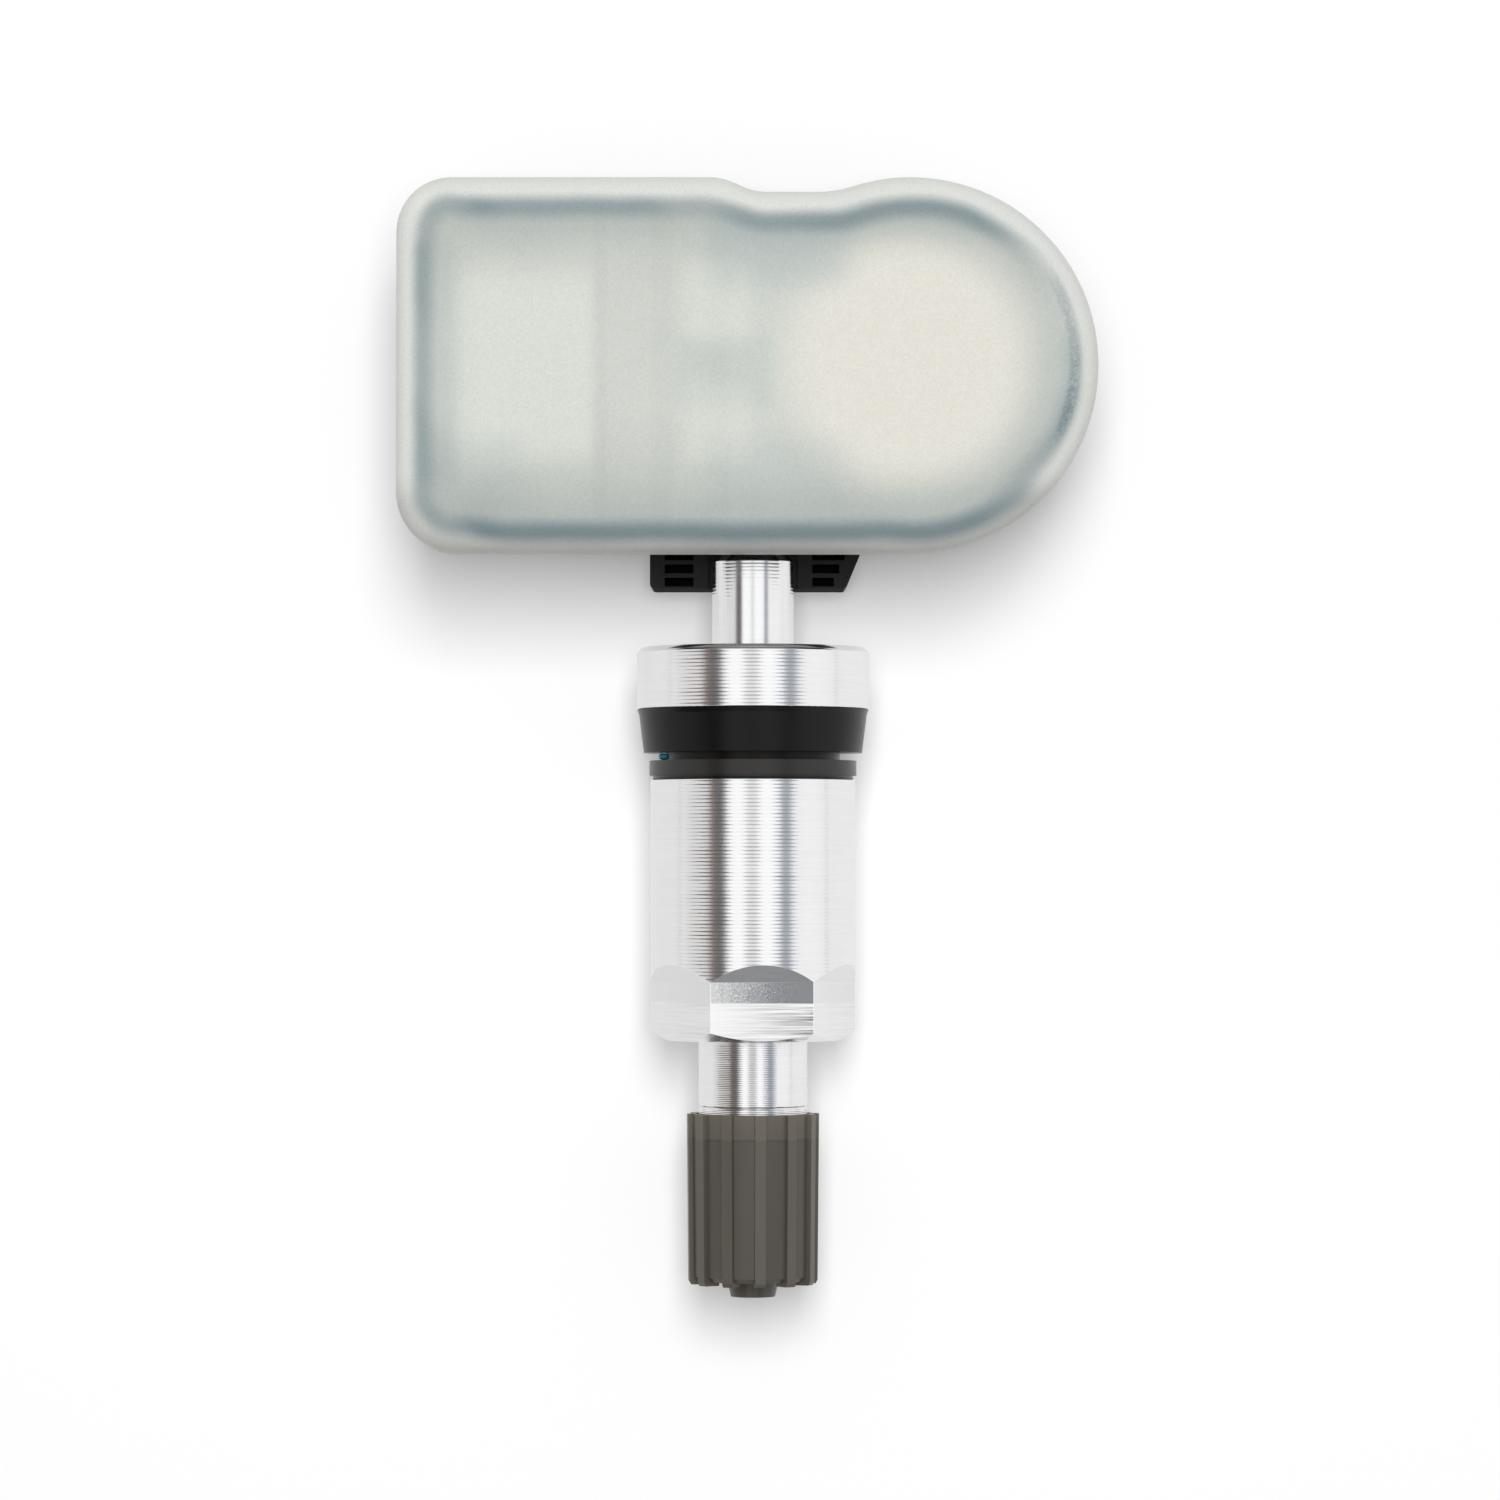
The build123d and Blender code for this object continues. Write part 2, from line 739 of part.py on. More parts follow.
# Cap: a closed sleeve with ribs that run on into prongs, and a nub on its end
with BuildPart() as valve_cap:
    cap_end_radius = cap_radius - cap_draft
    with BuildSketch(Plane.XY):
        add(
            turned_section(
                (cap_mouth_radius, cap_mouth),
                (cap_radius, cap_mouth),
                (cap_end_radius, cap_end + cap_end_round),
                (cap_end_radius - cap_end_round, cap_end),
                (nub_diameter / 2, cap_end),
                (nub_diameter / 2 - nub_taper, cap_end - nub_length),
                (0, cap_end - nub_length),
                (0, cap_inside_end),
                (cap_bore_radius, cap_inside_end),
                (cap_bore_radius, cap_mouth - cap_mouth_depth),
                (cap_mouth_radius, cap_mouth - cap_mouth_depth),
            )
        )
    revolve(axis=Axis.Y)
    rib_root = cap_bore_radius + (cap_end_radius - cap_bore_radius) / 2
    rib_foot = cap_mouth_radius + cap_wall / 2
    rib_end_radius = cap_end_radius + rib_height
    prong_end = cap_end - prong_length
    for rib in range(rib_count):
        with BuildSketch(radial(rib_turn + rib * 360 / rib_count)):
            with BuildLine():
                Polyline(
                    (rib_foot, cap_mouth),
                    (cap_radius + rib_height, cap_mouth),
                    (rib_end_radius, cap_end),
                    (rib_end_radius - prong_bevel, prong_end),
                    (rib_end_radius - prong_width, prong_end),
                    (rib_end_radius - prong_width, cap_end + cap_end_wall / 2),
                    (rib_root, cap_end + cap_end_wall / 2),
                    close=True,
                )
            make_face()
        extrude(amount=rib_width / 2, both=True)
valve_cap.part.label = "valve_cap"

# Sealing ring in the cap's end, on the stem's tip
with BuildPart() as cap_seal:
    with BuildSketch(across(stem_tip)):
        Circle(cap_bore_radius - cap_seal_gap)
        Circle(cap_seal_hole / 2, mode=Mode.SUBTRACT)
    extrude(amount=cap_seal_thickness)
cap_seal.part.label = "cap_seal"

# Core barrel: threaded head with a driver slot, and a neck with the spring chamber
with BuildPart() as core_barrel:
    with BuildSketch(Plane.XY):
        add(
            turned_section(
                (core_chamber_radius, core_outer),
                (core_head_radius, core_outer),
                (core_head_radius, core_shoulder),
                (core_neck_radius, core_shoulder),
                (core_neck_radius, core_inner),
                (pin_guide_radius, core_inner),
                (pin_guide_radius, chamber_end),
                (core_chamber_radius, chamber_end),
            )
        )
    revolve(axis=Axis.Y)
    with BuildSketch(across(core_outer)):
        Rectangle(core_slot_width, 3 * core_head_radius)
    extrude(amount=-core_slot_depth, mode=Mode.SUBTRACT)
core_barrel.part.label = "core_barrel"

# Core ring: the barrel's seal on the stem's seat cone
with BuildPart() as core_ring:
    ring_bore = core_neck_radius + core_ring_gap
    with BuildSketch(Plane.XY):
        add(
            turned_section(
                (ring_bore, core_shoulder),
                (core_head_radius - core_ring_gap, core_shoulder),
                (core_bore_radius - core_ring_gap, core_shoulder + seat_cone_length),
                (ring_bore, core_shoulder + seat_cone_length),
            )
        )
    revolve(axis=Axis.Y)
core_ring.part.label = "core_ring"

# Core pin: a rod with a collar for the spring, and a cup at its inner end
with BuildPart() as core_pin:
    collar_radius = core_chamber_radius - pin_collar_gap
    with BuildSketch(Plane.XY):
        add(
            turned_section(
                (0, pin_outer),
                (pin_radius, pin_outer),
                (pin_radius, collar_outer),
                (collar_radius, collar_outer),
                (collar_radius, collar_inner),
                (pin_radius, collar_inner),
                (pin_radius, cup_start),
                (cup_radius, cup_start),
                (cup_radius, cup_start + cup_thickness),
                (0, cup_start + cup_thickness),
            )
        )
    revolve(axis=Axis.Y)
core_pin.part.label = "core_pin"

# Cup seal: the rubber ring that the pin's cup draws against the barrel
with BuildPart() as core_cup_seal:
    with BuildSketch(across(core_inner)):
        Circle(cup_radius)
        Circle(pin_radius + cup_seal_gap, mode=Mode.SUBTRACT)
    extrude(amount=-cup_seal_thickness)
core_cup_seal.part.label = "core_cup_seal"

# Core spring: a coil round the pin, from its collar to the chamber's end
with BuildPart() as core_spring:
    core_spring_length = chamber_end - collar_inner - core_spring_wire
    with BuildLine():
        coil = Helix(
            core_spring_length / core_spring_turns,
            core_spring_length,
            (pin_radius + core_chamber_radius) / 2,
            center=(0, collar_inner + core_spring_wire / 2, 0),
            direction=(0, 1, 0),
        )
    with BuildSketch(Plane(coil @ 0, z_dir=coil % 0)):
        Rectangle(core_spring_wire, core_spring_wire)
    sweep(path=coil, is_frenet=True)
core_spring.part.label = "core_spring"

# Coin cell: a can with a bevelled edge, and the smaller lid of its minus side below
with BuildPart() as coin_cell:
    with BuildSketch(Plane((end_center_x, housing_middle, board_bottom))):
        Circle(cell_radius - cell_can_step)
    extrude(amount=cell_can_rise)
    with BuildSketch(Plane((end_center_x, housing_middle, board_bottom + cell_can_rise))):
        Circle(cell_radius)
    extrude(amount=cell_thickness - cell_can_rise)
    chamfer(coin_cell.faces().sort_by(Axis.Z)[-1].edges(), cell_edge)
coin_cell.part.label = "coin_cell"

# Circuit board: the cavity's outline with a bite for the cell and holes for the pegs
with BuildPart() as circuit_board:
    with BuildSketch(Plane.XY.offset(board_bottom)):
        add(housing_outline(cavity_inset + board_edge_gap))
        with Locations((end_center_x, housing_middle)):
            Circle(cell_radius + board_cell_gap, mode=Mode.SUBTRACT)
        with Locations((cell_left + board_arm_reach, housing_middle)):
            Rectangle(
                2 * end_radius,
                2 * end_radius,
                align=(Align.MIN, Align.CENTER),
                mode=Mode.SUBTRACT,
            )
        with Locations(*peg_places):
            Circle(peg_diameter / 2 + peg_gap, mode=Mode.SUBTRACT)
    extrude(amount=board_thickness)
circuit_board.part.label = "circuit_board"

# Plus tab: from the top of the cell down to the board
with BuildPart() as positive_tab:
    with BuildSketch(across(housing_middle)):
        with BuildLine():
            Polyline(
                (cell_left + tab_on_cell, cell_top),
                (tab_bend_x, cell_top),
                (tab_bend_x, board_top),
                (tab_bend_x - tab_foot, board_top),
                (tab_bend_x - tab_foot, board_top + tab_thickness),
                (tab_bend_x - tab_thickness, board_top + tab_thickness),
                (tab_bend_x - tab_thickness, cell_top + tab_thickness),
                (cell_left + tab_on_cell, cell_top + tab_thickness),
                close=True,
            )
        make_face()
    extrude(amount=tab_width / 2, both=True)
positive_tab.part.label = "positive_tab"

# Minus tab: a flat strip below the cell and the board
with BuildPart() as negative_tab:
    strip_start = tab_bend_x - tab_foot
    strip_end = cell_left + cell_can_step + tab_on_cell
    with BuildSketch(Plane((strip_start, housing_middle, board_bottom))):
        Rectangle(strip_end - strip_start, tab_width, align=(Align.MIN, Align.CENTER))
    extrude(amount=-tab_thickness)
negative_tab.part.label = "negative_tab"

# Sensor chip below the board, with its pressure hole over the port
with BuildPart() as sensor_chip:
    with BuildSketch(Plane((port_x, housing_middle, chip_bottom))):
        Rectangle(chip_size, chip_size)
    extrude(amount=chip_height)
    with BuildSketch(Plane((port_x, housing_middle, chip_bottom))):
        Circle(chip_port_diameter / 2)
    extrude(amount=chip_port_depth, mode=Mode.SUBTRACT)
sensor_chip.part.label = "sensor_chip"

# Gasket between the port's collar and the chip
with BuildPart() as port_gasket:
    with BuildSketch(Plane((port_x, housing_middle, collar_top))):
        Circle(gasket_radius)
        Circle(gasket_bore / 2, mode=Mode.SUBTRACT)
    extrude(amount=gasket_height)
port_gasket.part.label = "port_gasket"

# Pickup coil: a bobbin with square flanges and a wound waist
with BuildPart() as pickup_coil:
    coil_start = (coil_right - coil_length, cavity_back - coil_back_gap - coil_width / 2, board_top)
    with BuildSketch(Plane(coil_start)):
        Rectangle(coil_length, coil_width, align=(Align.MIN, Align.CENTER))
        with Locations((coil_length / 2, 0)):
            waist_length = coil_length - 2 * coil_flange
            Rectangle(waist_length, coil_width, mode=Mode.SUBTRACT)
            Rectangle(waist_length, coil_width - 2 * coil_waist)
    extrude(amount=coil_height)
pickup_coil.part.label = "pickup_coil"

# Crystal: a ceramic tray with its metal lid
with BuildPart() as crystal:
    crystal_x = cavity_left + crystal_left_gap + crystal_length / 2
    with BuildSketch(Plane((crystal_x, housing_middle + crystal_side, board_top))):
        Rectangle(crystal_length, crystal_width)
    extrude(amount=crystal_height)
    with BuildSketch(crystal.faces().sort_by(Axis.Z)[-1]):
        lid_shrink = 2 * crystal_lid_inset
        Rectangle(crystal_length - lid_shrink, crystal_width - lid_shrink)
    extrude(amount=crystal_lid_height)
crystal.part.label = "crystal"

# Radio antenna: a bent strip that stands on the board on two legs
with BuildPart() as radio_antenna:
    antenna_y = cavity_front + antenna_front_gap
    with BuildSketch(across(antenna_y)):
        with Locations((cavity_left + antenna_left_gap, board_top)):
            Rectangle(antenna_length, antenna_height, align=(Align.MIN, Align.MIN))
        with Locations((cavity_left + antenna_left_gap + antenna_strip, board_top)):
            Rectangle(
                antenna_length - 2 * antenna_strip,
                antenna_height - antenna_strip,
                align=(Align.MIN, Align.MIN),
                mode=Mode.SUBTRACT,
            )
    extrude(amount=-antenna_width)
radio_antenna.part.label = "radio_antenna"

# Chip components: a small field of resistors and capacitors
with BuildPart() as chip_components:
    field_right = tab_bend_x - tab_foot - passive_tab_gap
    field_x = field_right - (passive_columns - 1) * passive_pitch_x / 2
    with BuildSketch(Plane((field_x, housing_middle, board_top))):
        with GridLocations(passive_pitch_x, passive_pitch_y, passive_columns, passive_rows):
            Rectangle(passive_length, passive_width)
    extrude(amount=passive_height)
chip_components.part.label = "chip_components"

os.makedirs("parts", exist_ok=True)
for piece in (
    lid,
    base,
    release_button,
    latch_springs,
    valve_stem,
    grommet,
    nut_washer,
    nut,
    valve_cap,
    cap_seal,
    core_barrel,
    core_ring,
    core_pin,
    core_cup_seal,
    core_spring,
    coin_cell,
    circuit_board,
    positive_tab,
    negative_tab,
    sensor_chip,
    port_gasket,
    pickup_coil,
    crystal,
    radio_antenna,
    chip_components,
):
    export_step(piece.part, f"parts/{piece.part.label}.step")
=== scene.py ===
"""Dresses the tyre pressure sensor: finishes for its solids, threads and springs, and a white studio."""

import math

import bmesh
import bpy
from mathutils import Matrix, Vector


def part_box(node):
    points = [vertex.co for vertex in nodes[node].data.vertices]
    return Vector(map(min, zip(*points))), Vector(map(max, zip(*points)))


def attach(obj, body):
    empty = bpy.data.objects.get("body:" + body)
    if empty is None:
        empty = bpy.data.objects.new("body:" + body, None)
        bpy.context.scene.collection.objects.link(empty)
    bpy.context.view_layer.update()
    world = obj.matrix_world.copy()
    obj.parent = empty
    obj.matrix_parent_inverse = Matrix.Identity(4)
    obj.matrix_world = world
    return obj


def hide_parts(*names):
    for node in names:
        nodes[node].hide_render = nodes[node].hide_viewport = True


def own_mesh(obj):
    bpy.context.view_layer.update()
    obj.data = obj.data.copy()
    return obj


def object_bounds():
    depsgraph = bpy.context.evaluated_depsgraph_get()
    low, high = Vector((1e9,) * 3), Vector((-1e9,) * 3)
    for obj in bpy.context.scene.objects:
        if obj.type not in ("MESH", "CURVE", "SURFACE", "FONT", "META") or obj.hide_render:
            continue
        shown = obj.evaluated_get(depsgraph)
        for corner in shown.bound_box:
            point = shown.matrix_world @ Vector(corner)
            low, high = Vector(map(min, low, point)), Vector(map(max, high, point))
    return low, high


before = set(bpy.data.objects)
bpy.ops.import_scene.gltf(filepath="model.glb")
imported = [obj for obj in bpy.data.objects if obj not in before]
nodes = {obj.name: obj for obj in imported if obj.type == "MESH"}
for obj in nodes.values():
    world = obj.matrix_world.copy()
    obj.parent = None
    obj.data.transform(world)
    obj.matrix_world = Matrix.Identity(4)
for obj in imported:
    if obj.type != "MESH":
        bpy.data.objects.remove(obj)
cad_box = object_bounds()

bl_info = {
    "name": "Tyre pressure sensor looks",
    "version": (1, 0, 0),
    "blender": (4, 5, 0),
    "location": "View3D > Sidebar > Sensor",
    "description": "Finishes, threads, springs and studio for a tyre pressure sensor on a clamp-in valve",
    "category": "Material",
}

MM = 0.001
DEGREES = 180 / math.pi

# Sizes and places on the solids, in millimetres
EAR_TOP = -2.6
BRACKET_FRONT = 11.25
HEX_SIDE = 6.93
HEX_TURN = 5.8
HEX_LENGTH = 4.0
SHANK_START = 7.2
NUT_THREAD_CREST = 4.42
NUT_THREAD_START = 2.9
NUT_THREAD_END = -13.3
CAP_THREAD_CREST = 3.64
CAP_THREAD_START = -24.45
PLUG_RADIUS = 2.2
SHANK_RADIUS = 2.75
FLANGE_RADIUS = 7.85
NECK_RADIUS = 3.675
CORE_BORE_RADIUS = 2.6
AIR_BORE_RADIUS = 1.95
AIR_HOLE_RADIUS = 0.9
AIR_HOLE_Y = 9


class Number:
    """A socket of a shader that takes part in sums, each of which adds a Math node."""

    def __init__(self, finish, socket):
        self.finish = finish
        self.socket = socket

    def step(self, operation, *values):
        made = self.finish.node("ShaderNodeMath", {"operation": operation}, dict(enumerate(values)))
        return Number(self.finish, made.outputs[0])

    def __add__(self, other):
        return self.step("ADD", self, other)

    def __radd__(self, other):
        return self.step("ADD", other, self)

    def __sub__(self, other):
        return self.step("SUBTRACT", self, other)

    def __rsub__(self, other):
        return self.step("SUBTRACT", other, self)

    def __mul__(self, other):
        return self.step("MULTIPLY", self, other)

    def __rmul__(self, other):
        return self.step("MULTIPLY", other, self)

    def __truediv__(self, other):
        return self.step("DIVIDE", self, other)

    def __pow__(self, other):
        return self.step("POWER", self, other)

    def __abs__(self):
        return self.step("ABSOLUTE", self)

    def above(self, other):
        return self.step("GREATER_THAN", self, other)

    def lesser(self, other):
        return self.step("MINIMUM", self, other)

    def greater(self, other):
        return self.step("MAXIMUM", self, other)

    def greater_smooth(self, other, width):
        return self.step("SMOOTH_MAX", self, other, width)

    def root(self):
        return self.step("SQRT", self)

    def sine(self):
        return self.step("SINE", self)

    def fraction(self):
        return self.step("FRACT", self)

    def angle_from(self, other):
        return self.step("ARCTAN2", self, other)

    def rise(self, start, end):
        """0 before start and 1 after end, with a soft step between."""
        made = self.finish.node(
            "ShaderNodeMapRange",
            {"interpolation_type": "SMOOTHSTEP"},
            {"Value": self, "From Min": start, "From Max": end},
        )
        return Number(self.finish, made.outputs[0])

    def band(self, middle, half, soft):
        """1 within half of the middle, fading to 0 over a soft edge on each side."""
        return 1 - abs(self - middle).rise(half, half + soft)


class Finish:
    """A node tree with the few kinds of nodes that the finishes and the studio use."""

    def __init__(self, tree):
        self.tree = tree
        self.tree.nodes.clear()

    def node(self, kind, settings=None, sockets=None):
        made = self.tree.nodes.new(kind)
        for name, value in (settings or {}).items():
            setattr(made, name, value)
        for name, value in (sockets or {}).items():
            value = value.socket if isinstance(value, Number) else value
            if isinstance(value, bpy.types.NodeSocket):
                self.tree.links.new(value, made.inputs[name])
            else:
                made.inputs[name].default_value = value
        return made

    def point(self):
        """The place on the piece in millimetres, as a vector."""
        seen = self.node("ShaderNodeTexCoord").outputs["Object"]
        return self.scaled(seen, 1000)

    def scaled(self, vector, factor):
        made = self.node("ShaderNodeVectorMath", {"operation": "SCALE"}, {0: vector, "Scale": factor})
        return made.outputs[0]

    def stretched(self, vector, factors):
        made = self.node("ShaderNodeVectorMath", {"operation": "MULTIPLY"}, {0: vector, 1: factors})
        return made.outputs[0]

    def crossed(self, first, second):
        made = self.node("ShaderNodeVectorMath", {"operation": "CROSS_PRODUCT"}, {0: first, 1: second})
        return made.outputs[0]

    def summed(self, first, second):
        made = self.node("ShaderNodeVectorMath", {"operation": "ADD"}, {0: first, 1: second})
        return made.outputs[0]

    def split(self, vector):
        parts = self.node("ShaderNodeSeparateXYZ", None, {0: vector}).outputs
        return [Number(self, part) for part in parts]

    def noise(self, vector, scale, detail=2.0, rough=0.5):
        """Cloudy noise about 0, from -0.5 to 0.5, with its scale in 1/mm."""
        made = self.node(
            "ShaderNodeTexNoise",
            None,
            {"Vector": vector, "Scale": scale, "Detail": detail, "Roughness": rough},
        )
        return Number(self, made.outputs[0]) - 0.5

    def mix(self, share, first, second):
        colours = {0: share, 6: coloured(first), 7: coloured(second)}
        made = self.node("ShaderNodeMix", {"data_type": "RGBA"}, colours)
        return made.outputs[2]

    def shade(self, colour, factor):
        """A colour made lighter or darker by a number."""
        grey = self.node("ShaderNodeCombineColor", None, {0: factor, 1: factor, 2: factor}).outputs[0]
        made = self.node(
            "ShaderNodeMix",
            {"data_type": "RGBA", "blend_type": "MULTIPLY"},
            {0: 1.0, 6: coloured(colour), 7: grey},
        )
        return made.outputs[2]

    def bump(self, height, depth, normal=None):
        """A normal from a height of 0 to 1 that stands for the depth in millimetres."""
        sockets = {"Strength": 1.0, "Distance": depth * MM, "Height": height}
        if normal:
            sockets["Normal"] = normal
        return self.node("ShaderNodeBump", None, sockets).outputs[0]

    def surface(self, sockets, painted_shade=None):
        """The finished surface, mixed towards a painted black shade where a mask of painted shade is given.
        """
        shader = self.node("ShaderNodeBsdfPrincipled", None, sockets)
        if painted_shade:
            # Painted shade: a black diffuse that the mask mixes in
            black = self.node("ShaderNodeBsdfDiffuse", None, {"Color": (0.003, 0.003, 0.003, 1.0)})
            layers = {0: painted_shade, 1: shader.outputs[0], 2: black.outputs[0]}
            shader = self.node("ShaderNodeMixShader", None, layers)
        self.node("ShaderNodeOutputMaterial", None, {"Surface": shader.outputs[0]})


def coloured(value):
    """A colour of three numbers as the four that a socket takes."""
    return value if isinstance(value, bpy.types.NodeSocket) else (*value, 1.0)


def new_finish(name):
    material = bpy.data.materials.new(name)
    material.use_nodes = True
    return material, Finish(material.node_tree)


def dress(names, material):
    """Gives solids of the frame a finish."""
    for name in names:
        nodes[name].data.materials.clear()
        nodes[name].data.materials.append(material)


class SensorColours(bpy.types.PropertyGroup):
    """Colours of the sensor's finishes"""

    def colour(name, words, value):
        return bpy.props.FloatVectorProperty(
            name=name, description=words, subtype="COLOR", size=3, min=0, max=1, default=value
        )

    lid_rim: colour("Lid rim", "Milky plastic where nothing lies behind it", (0.682, 0.693, 0.658))
    lid_field: colour("Lid field", "Milky plastic over the circuit board", (0.565, 0.59, 0.55))
    lid_ring: colour("Lid ring", "Milky plastic over the tub's dark wall", (0.155, 0.215, 0.235))
    lid_cell: colour("Lid over the cell", "Milky plastic over the bright coin cell", (0.692, 0.678, 0.614))
    tub_black: colour("Tub black", "Black plastic of the tub and bracket", (0.0095, 0.0085, 0.009))
    rubber_black: colour("Rubber black", "Rubber of the grommet and the seals", (0.0032, 0.0032, 0.0032))
    washer_grey: colour("Washer grey", "Dark plastic of the washer under the nut", (0.007, 0.006, 0.0048))
    cap_grey: colour("Cap grey", "Warm grey plastic of the valve cap", (0.066, 0.059, 0.048))
    aluminium: colour("Aluminium", "Turned aluminium of the stem and the nut", (0.91, 0.91, 0.915))
    lacquer_blue: colour("Lacquer blue", "Dab of lacquer on the grommet's neck", (0.07, 0.47, 0.6))
    brass: colour("Brass", "Brass of the valve core", (0.62, 0.45, 0.18))
    board_green: colour("Board green", "Lacquer of the circuit board", (0.02, 0.13, 0.055))


class SensorSizes(bpy.types.PropertyGroup):
    """Sizes of what the looks add to the solids"""

    def length(name, words, value):
        return bpy.props.FloatProperty(
            name=name,
            description=words,
            subtype="DISTANCE",
            unit="LENGTH",
            min=0,
            precision=5,
            default=value * MM,
        )

    thread_pitch: length("Thread pitch", "Pitch of the nut's and the cap's threads", 0.794)
    nut_thread_depth: length("Nut thread depth", "Depth of the thread that the nut turns on", 0.36)
    cap_thread_depth: length("Cap thread depth", "Depth of the thread that the cap turns on", 0.34)
    turning_pitch: length("Turning pitch", "Spacing of the tool marks on turned faces", 0.245)
    core_wire: length("Core spring wire", "Wire diameter of the spring in the valve core", 0.22)
    latch_strip: length("Latch spring strip", "Thickness of the bowed springs over the release button", 0.2)


class SensorStudio(bpy.types.PropertyGroup):
    """Camera and light"""

    camera_height: bpy.props.FloatProperty(
        name="Camera height",
        description="Height of the camera above the valve's axis",
        subtype="DISTANCE",
        unit="LENGTH",
        default=0.3684,
    )
    camera_lean: bpy.props.FloatProperty(
        name="Camera lean",
        description="How far the camera stands towards the cap from straight above",
        subtype="DISTANCE",
        unit="LENGTH",
        default=0.008,
    )
    camera_lens: bpy.props.FloatProperty(
        name="Lens", description="Focal length", subtype="DISTANCE_CAMERA", default=130.8
    )
    key_power: bpy.props.FloatProperty(
        name="Key light", description="Power of the soft lamp above the housing", unit="POWER", default=3.4
    )
    floor_white: bpy.props.FloatProperty(
        name="Floor white",
        description="Share of plain white that the camera sees on the floor",
        min=0,
        max=1,
        default=0.2,
    )
    # Painted reflection: the share of the floor's grey glow that metal mirrors in place of the lit floor
    floor_painted_reflection: bpy.props.FloatProperty(
        name="Floor in metal",
        description="Share of plain white that metal mirrors from the floor",
        min=0,
        max=1,
        default=0.8,
    )
    sky_level: bpy.props.FloatProperty(
        name="Sky level", description="Light of the white room on dull surfaces", min=0, default=0.3
    )


def milky_lid(colours):
    """Milky plastic, with the tub's wall, the board and the bright cell behind it as soft shapes, and
    painted shade and light on its rim.
    """
    material, finish = new_finish("lid_milky")
    point = finish.point()
    x, y, _ = finish.split(point)
    low, high = (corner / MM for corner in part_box("lid"))
    cell_low, cell_high = (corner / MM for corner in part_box("coin_cell"))
    middle_y = (low.y + high.y) / 2
    end_radius = (high.y - low.y) / 2
    end_x = high.x - end_radius
    corner = 3.8
    dip_depth = 0.97

    # Distance in from the housing's outline: round corners, the dip at the back and the round end
    round_end = end_radius - ((x - end_x) ** 2 + (y - middle_y) ** 2).root()
    back = (high.y - dip_depth * x.rise(-3.4, 1.2) - y).greater_smooth(round_end, 0.7)
    from_side = (y - low.y).lesser(back)
    from_left = x - low.x
    side = (corner - from_side).greater(0)
    left = (corner - from_left).greater(0)
    squared = corner - (side ** 2 + left ** 2).root() + (from_side.lesser(from_left) - corner).greater(0)
    at_end = x.above(end_x)
    inward = squared * (1 - at_end) + round_end * at_end

    # What lies behind: wall, board, a pale component on the left and the cell on the right
    cloud = finish.noise(point, 0.16, 2.0)
    front_side = 1 - y.rise(middle_y - 9.5, middle_y - 7)
    back_side = y.rise(middle_y + 7, middle_y + 9)
    right_side = x.rise(end_x + 4, end_x + 10)
    left_side = 1 - x.rise(low.x + 3.5, low.x + 5)
    front_shift = 0.74 * front_side * x.rise(low.x + 2, low.x + 7.5)
    shift = front_shift - 0.18 * back_side + 0.15 * right_side + 0.13 * left_side
    depth = inward + 0.42 * cloud + shift
    fading = 0.66 - 0.66 * depth.rise(2.05, 3.2) + 0.34 - 0.34 * depth.rise(2.3, 6.2)
    wall = depth.rise(0.85, 1.9) * fading
    straight = x.rise(low.x + 3.2, low.x + 6.8) * (1 - x.rise(end_x + 3.5, end_x + 9.5))
    front_wall = front_side * straight
    back_wall = back_side * straight * (0.52 - 0.34 * x.band(-3.9, 0.9, 2.4) + 0.16 * x.rise(0.5, 6))
    left_wall = left_side * (0.5 - 0.18 * y.band(middle_y, 1.2, 3.5)) * y.band(middle_y, 7.2, 2.4)
    right_wall = right_side * (0.35 * y.band(middle_y - 5.5, 2, 3) - 0.4 * y.band(middle_y + 4.5, 1.5, 3))
    corners = 0.3 * (1 - x.rise(low.x + 5, low.x + 7.5)) * (1 - y.band(middle_y, 8.0, 2.0))
    strength = 0.45 + 0.54 * (0.82 * front_wall + back_wall + left_wall + right_wall + corners).lesser(1)
    grit = finish.noise(point, 4.5, 3.0, 0.7)
    dotted = round_end.band(1.62, 0.2, 0.4) * x.rise(end_x + 8.2, end_x + 10.2)
    dotted = dotted * y.band(middle_y + 0.6, 4.6, 2.6) * (0.5 + 2.2 * grit).greater(0)
    dark = (wall * strength + 0.45 * dotted).lesser(1)

    reach = (((x - (cell_low.x + cell_high.x) / 2 + 0.3) ** 2) + ((y - middle_y) ** 2)).root()
    cell = 1 - (reach + 1.6 * cloud).rise(5.8, 10.2)
    parts = x.band(-15.1, 3.8, 1.4) * y.band(middle_y - 0.2, 4.4, 3.4)
    seams = x.band(-10.1, 0.2, 0.5) + x.band(-6.0, 0.3, 0.8) + x.band(-2.3, 0.3, 0.8)
    blocks = x.band(-2.3, 1.4, 1.6) * (y.band(middle_y - 4.0, 1.6, 1.8) + y.band(middle_y + 3.9, 1.8, 1.8))
    front_shade = 1 - y.rise(middle_y - 9.4, middle_y - 2.8)
    back_shade = y.rise(middle_y + 2.8, middle_y + 9.6)
    gap = x.band(-1.9, 2.4, 1.6) * y.band(middle_y - 0.6, 1.6, 1.6)
    cold_ends = y.band(middle_y + 7.6, 1.4, 2.4) + 0.6 * y.band(middle_y - 7.6, 1.4, 2.2)
    cold = x.band(1.6, 3.2, 2.8) * cold_ends
    cold = cold + 0.6 * x.band(-18.5, 2.0, 2.4) * y.band(middle_y - 7, 1.2, 2.0) + 0.45 * gap
    low_left = (1 - x.rise(-19, -12)) * front_shade

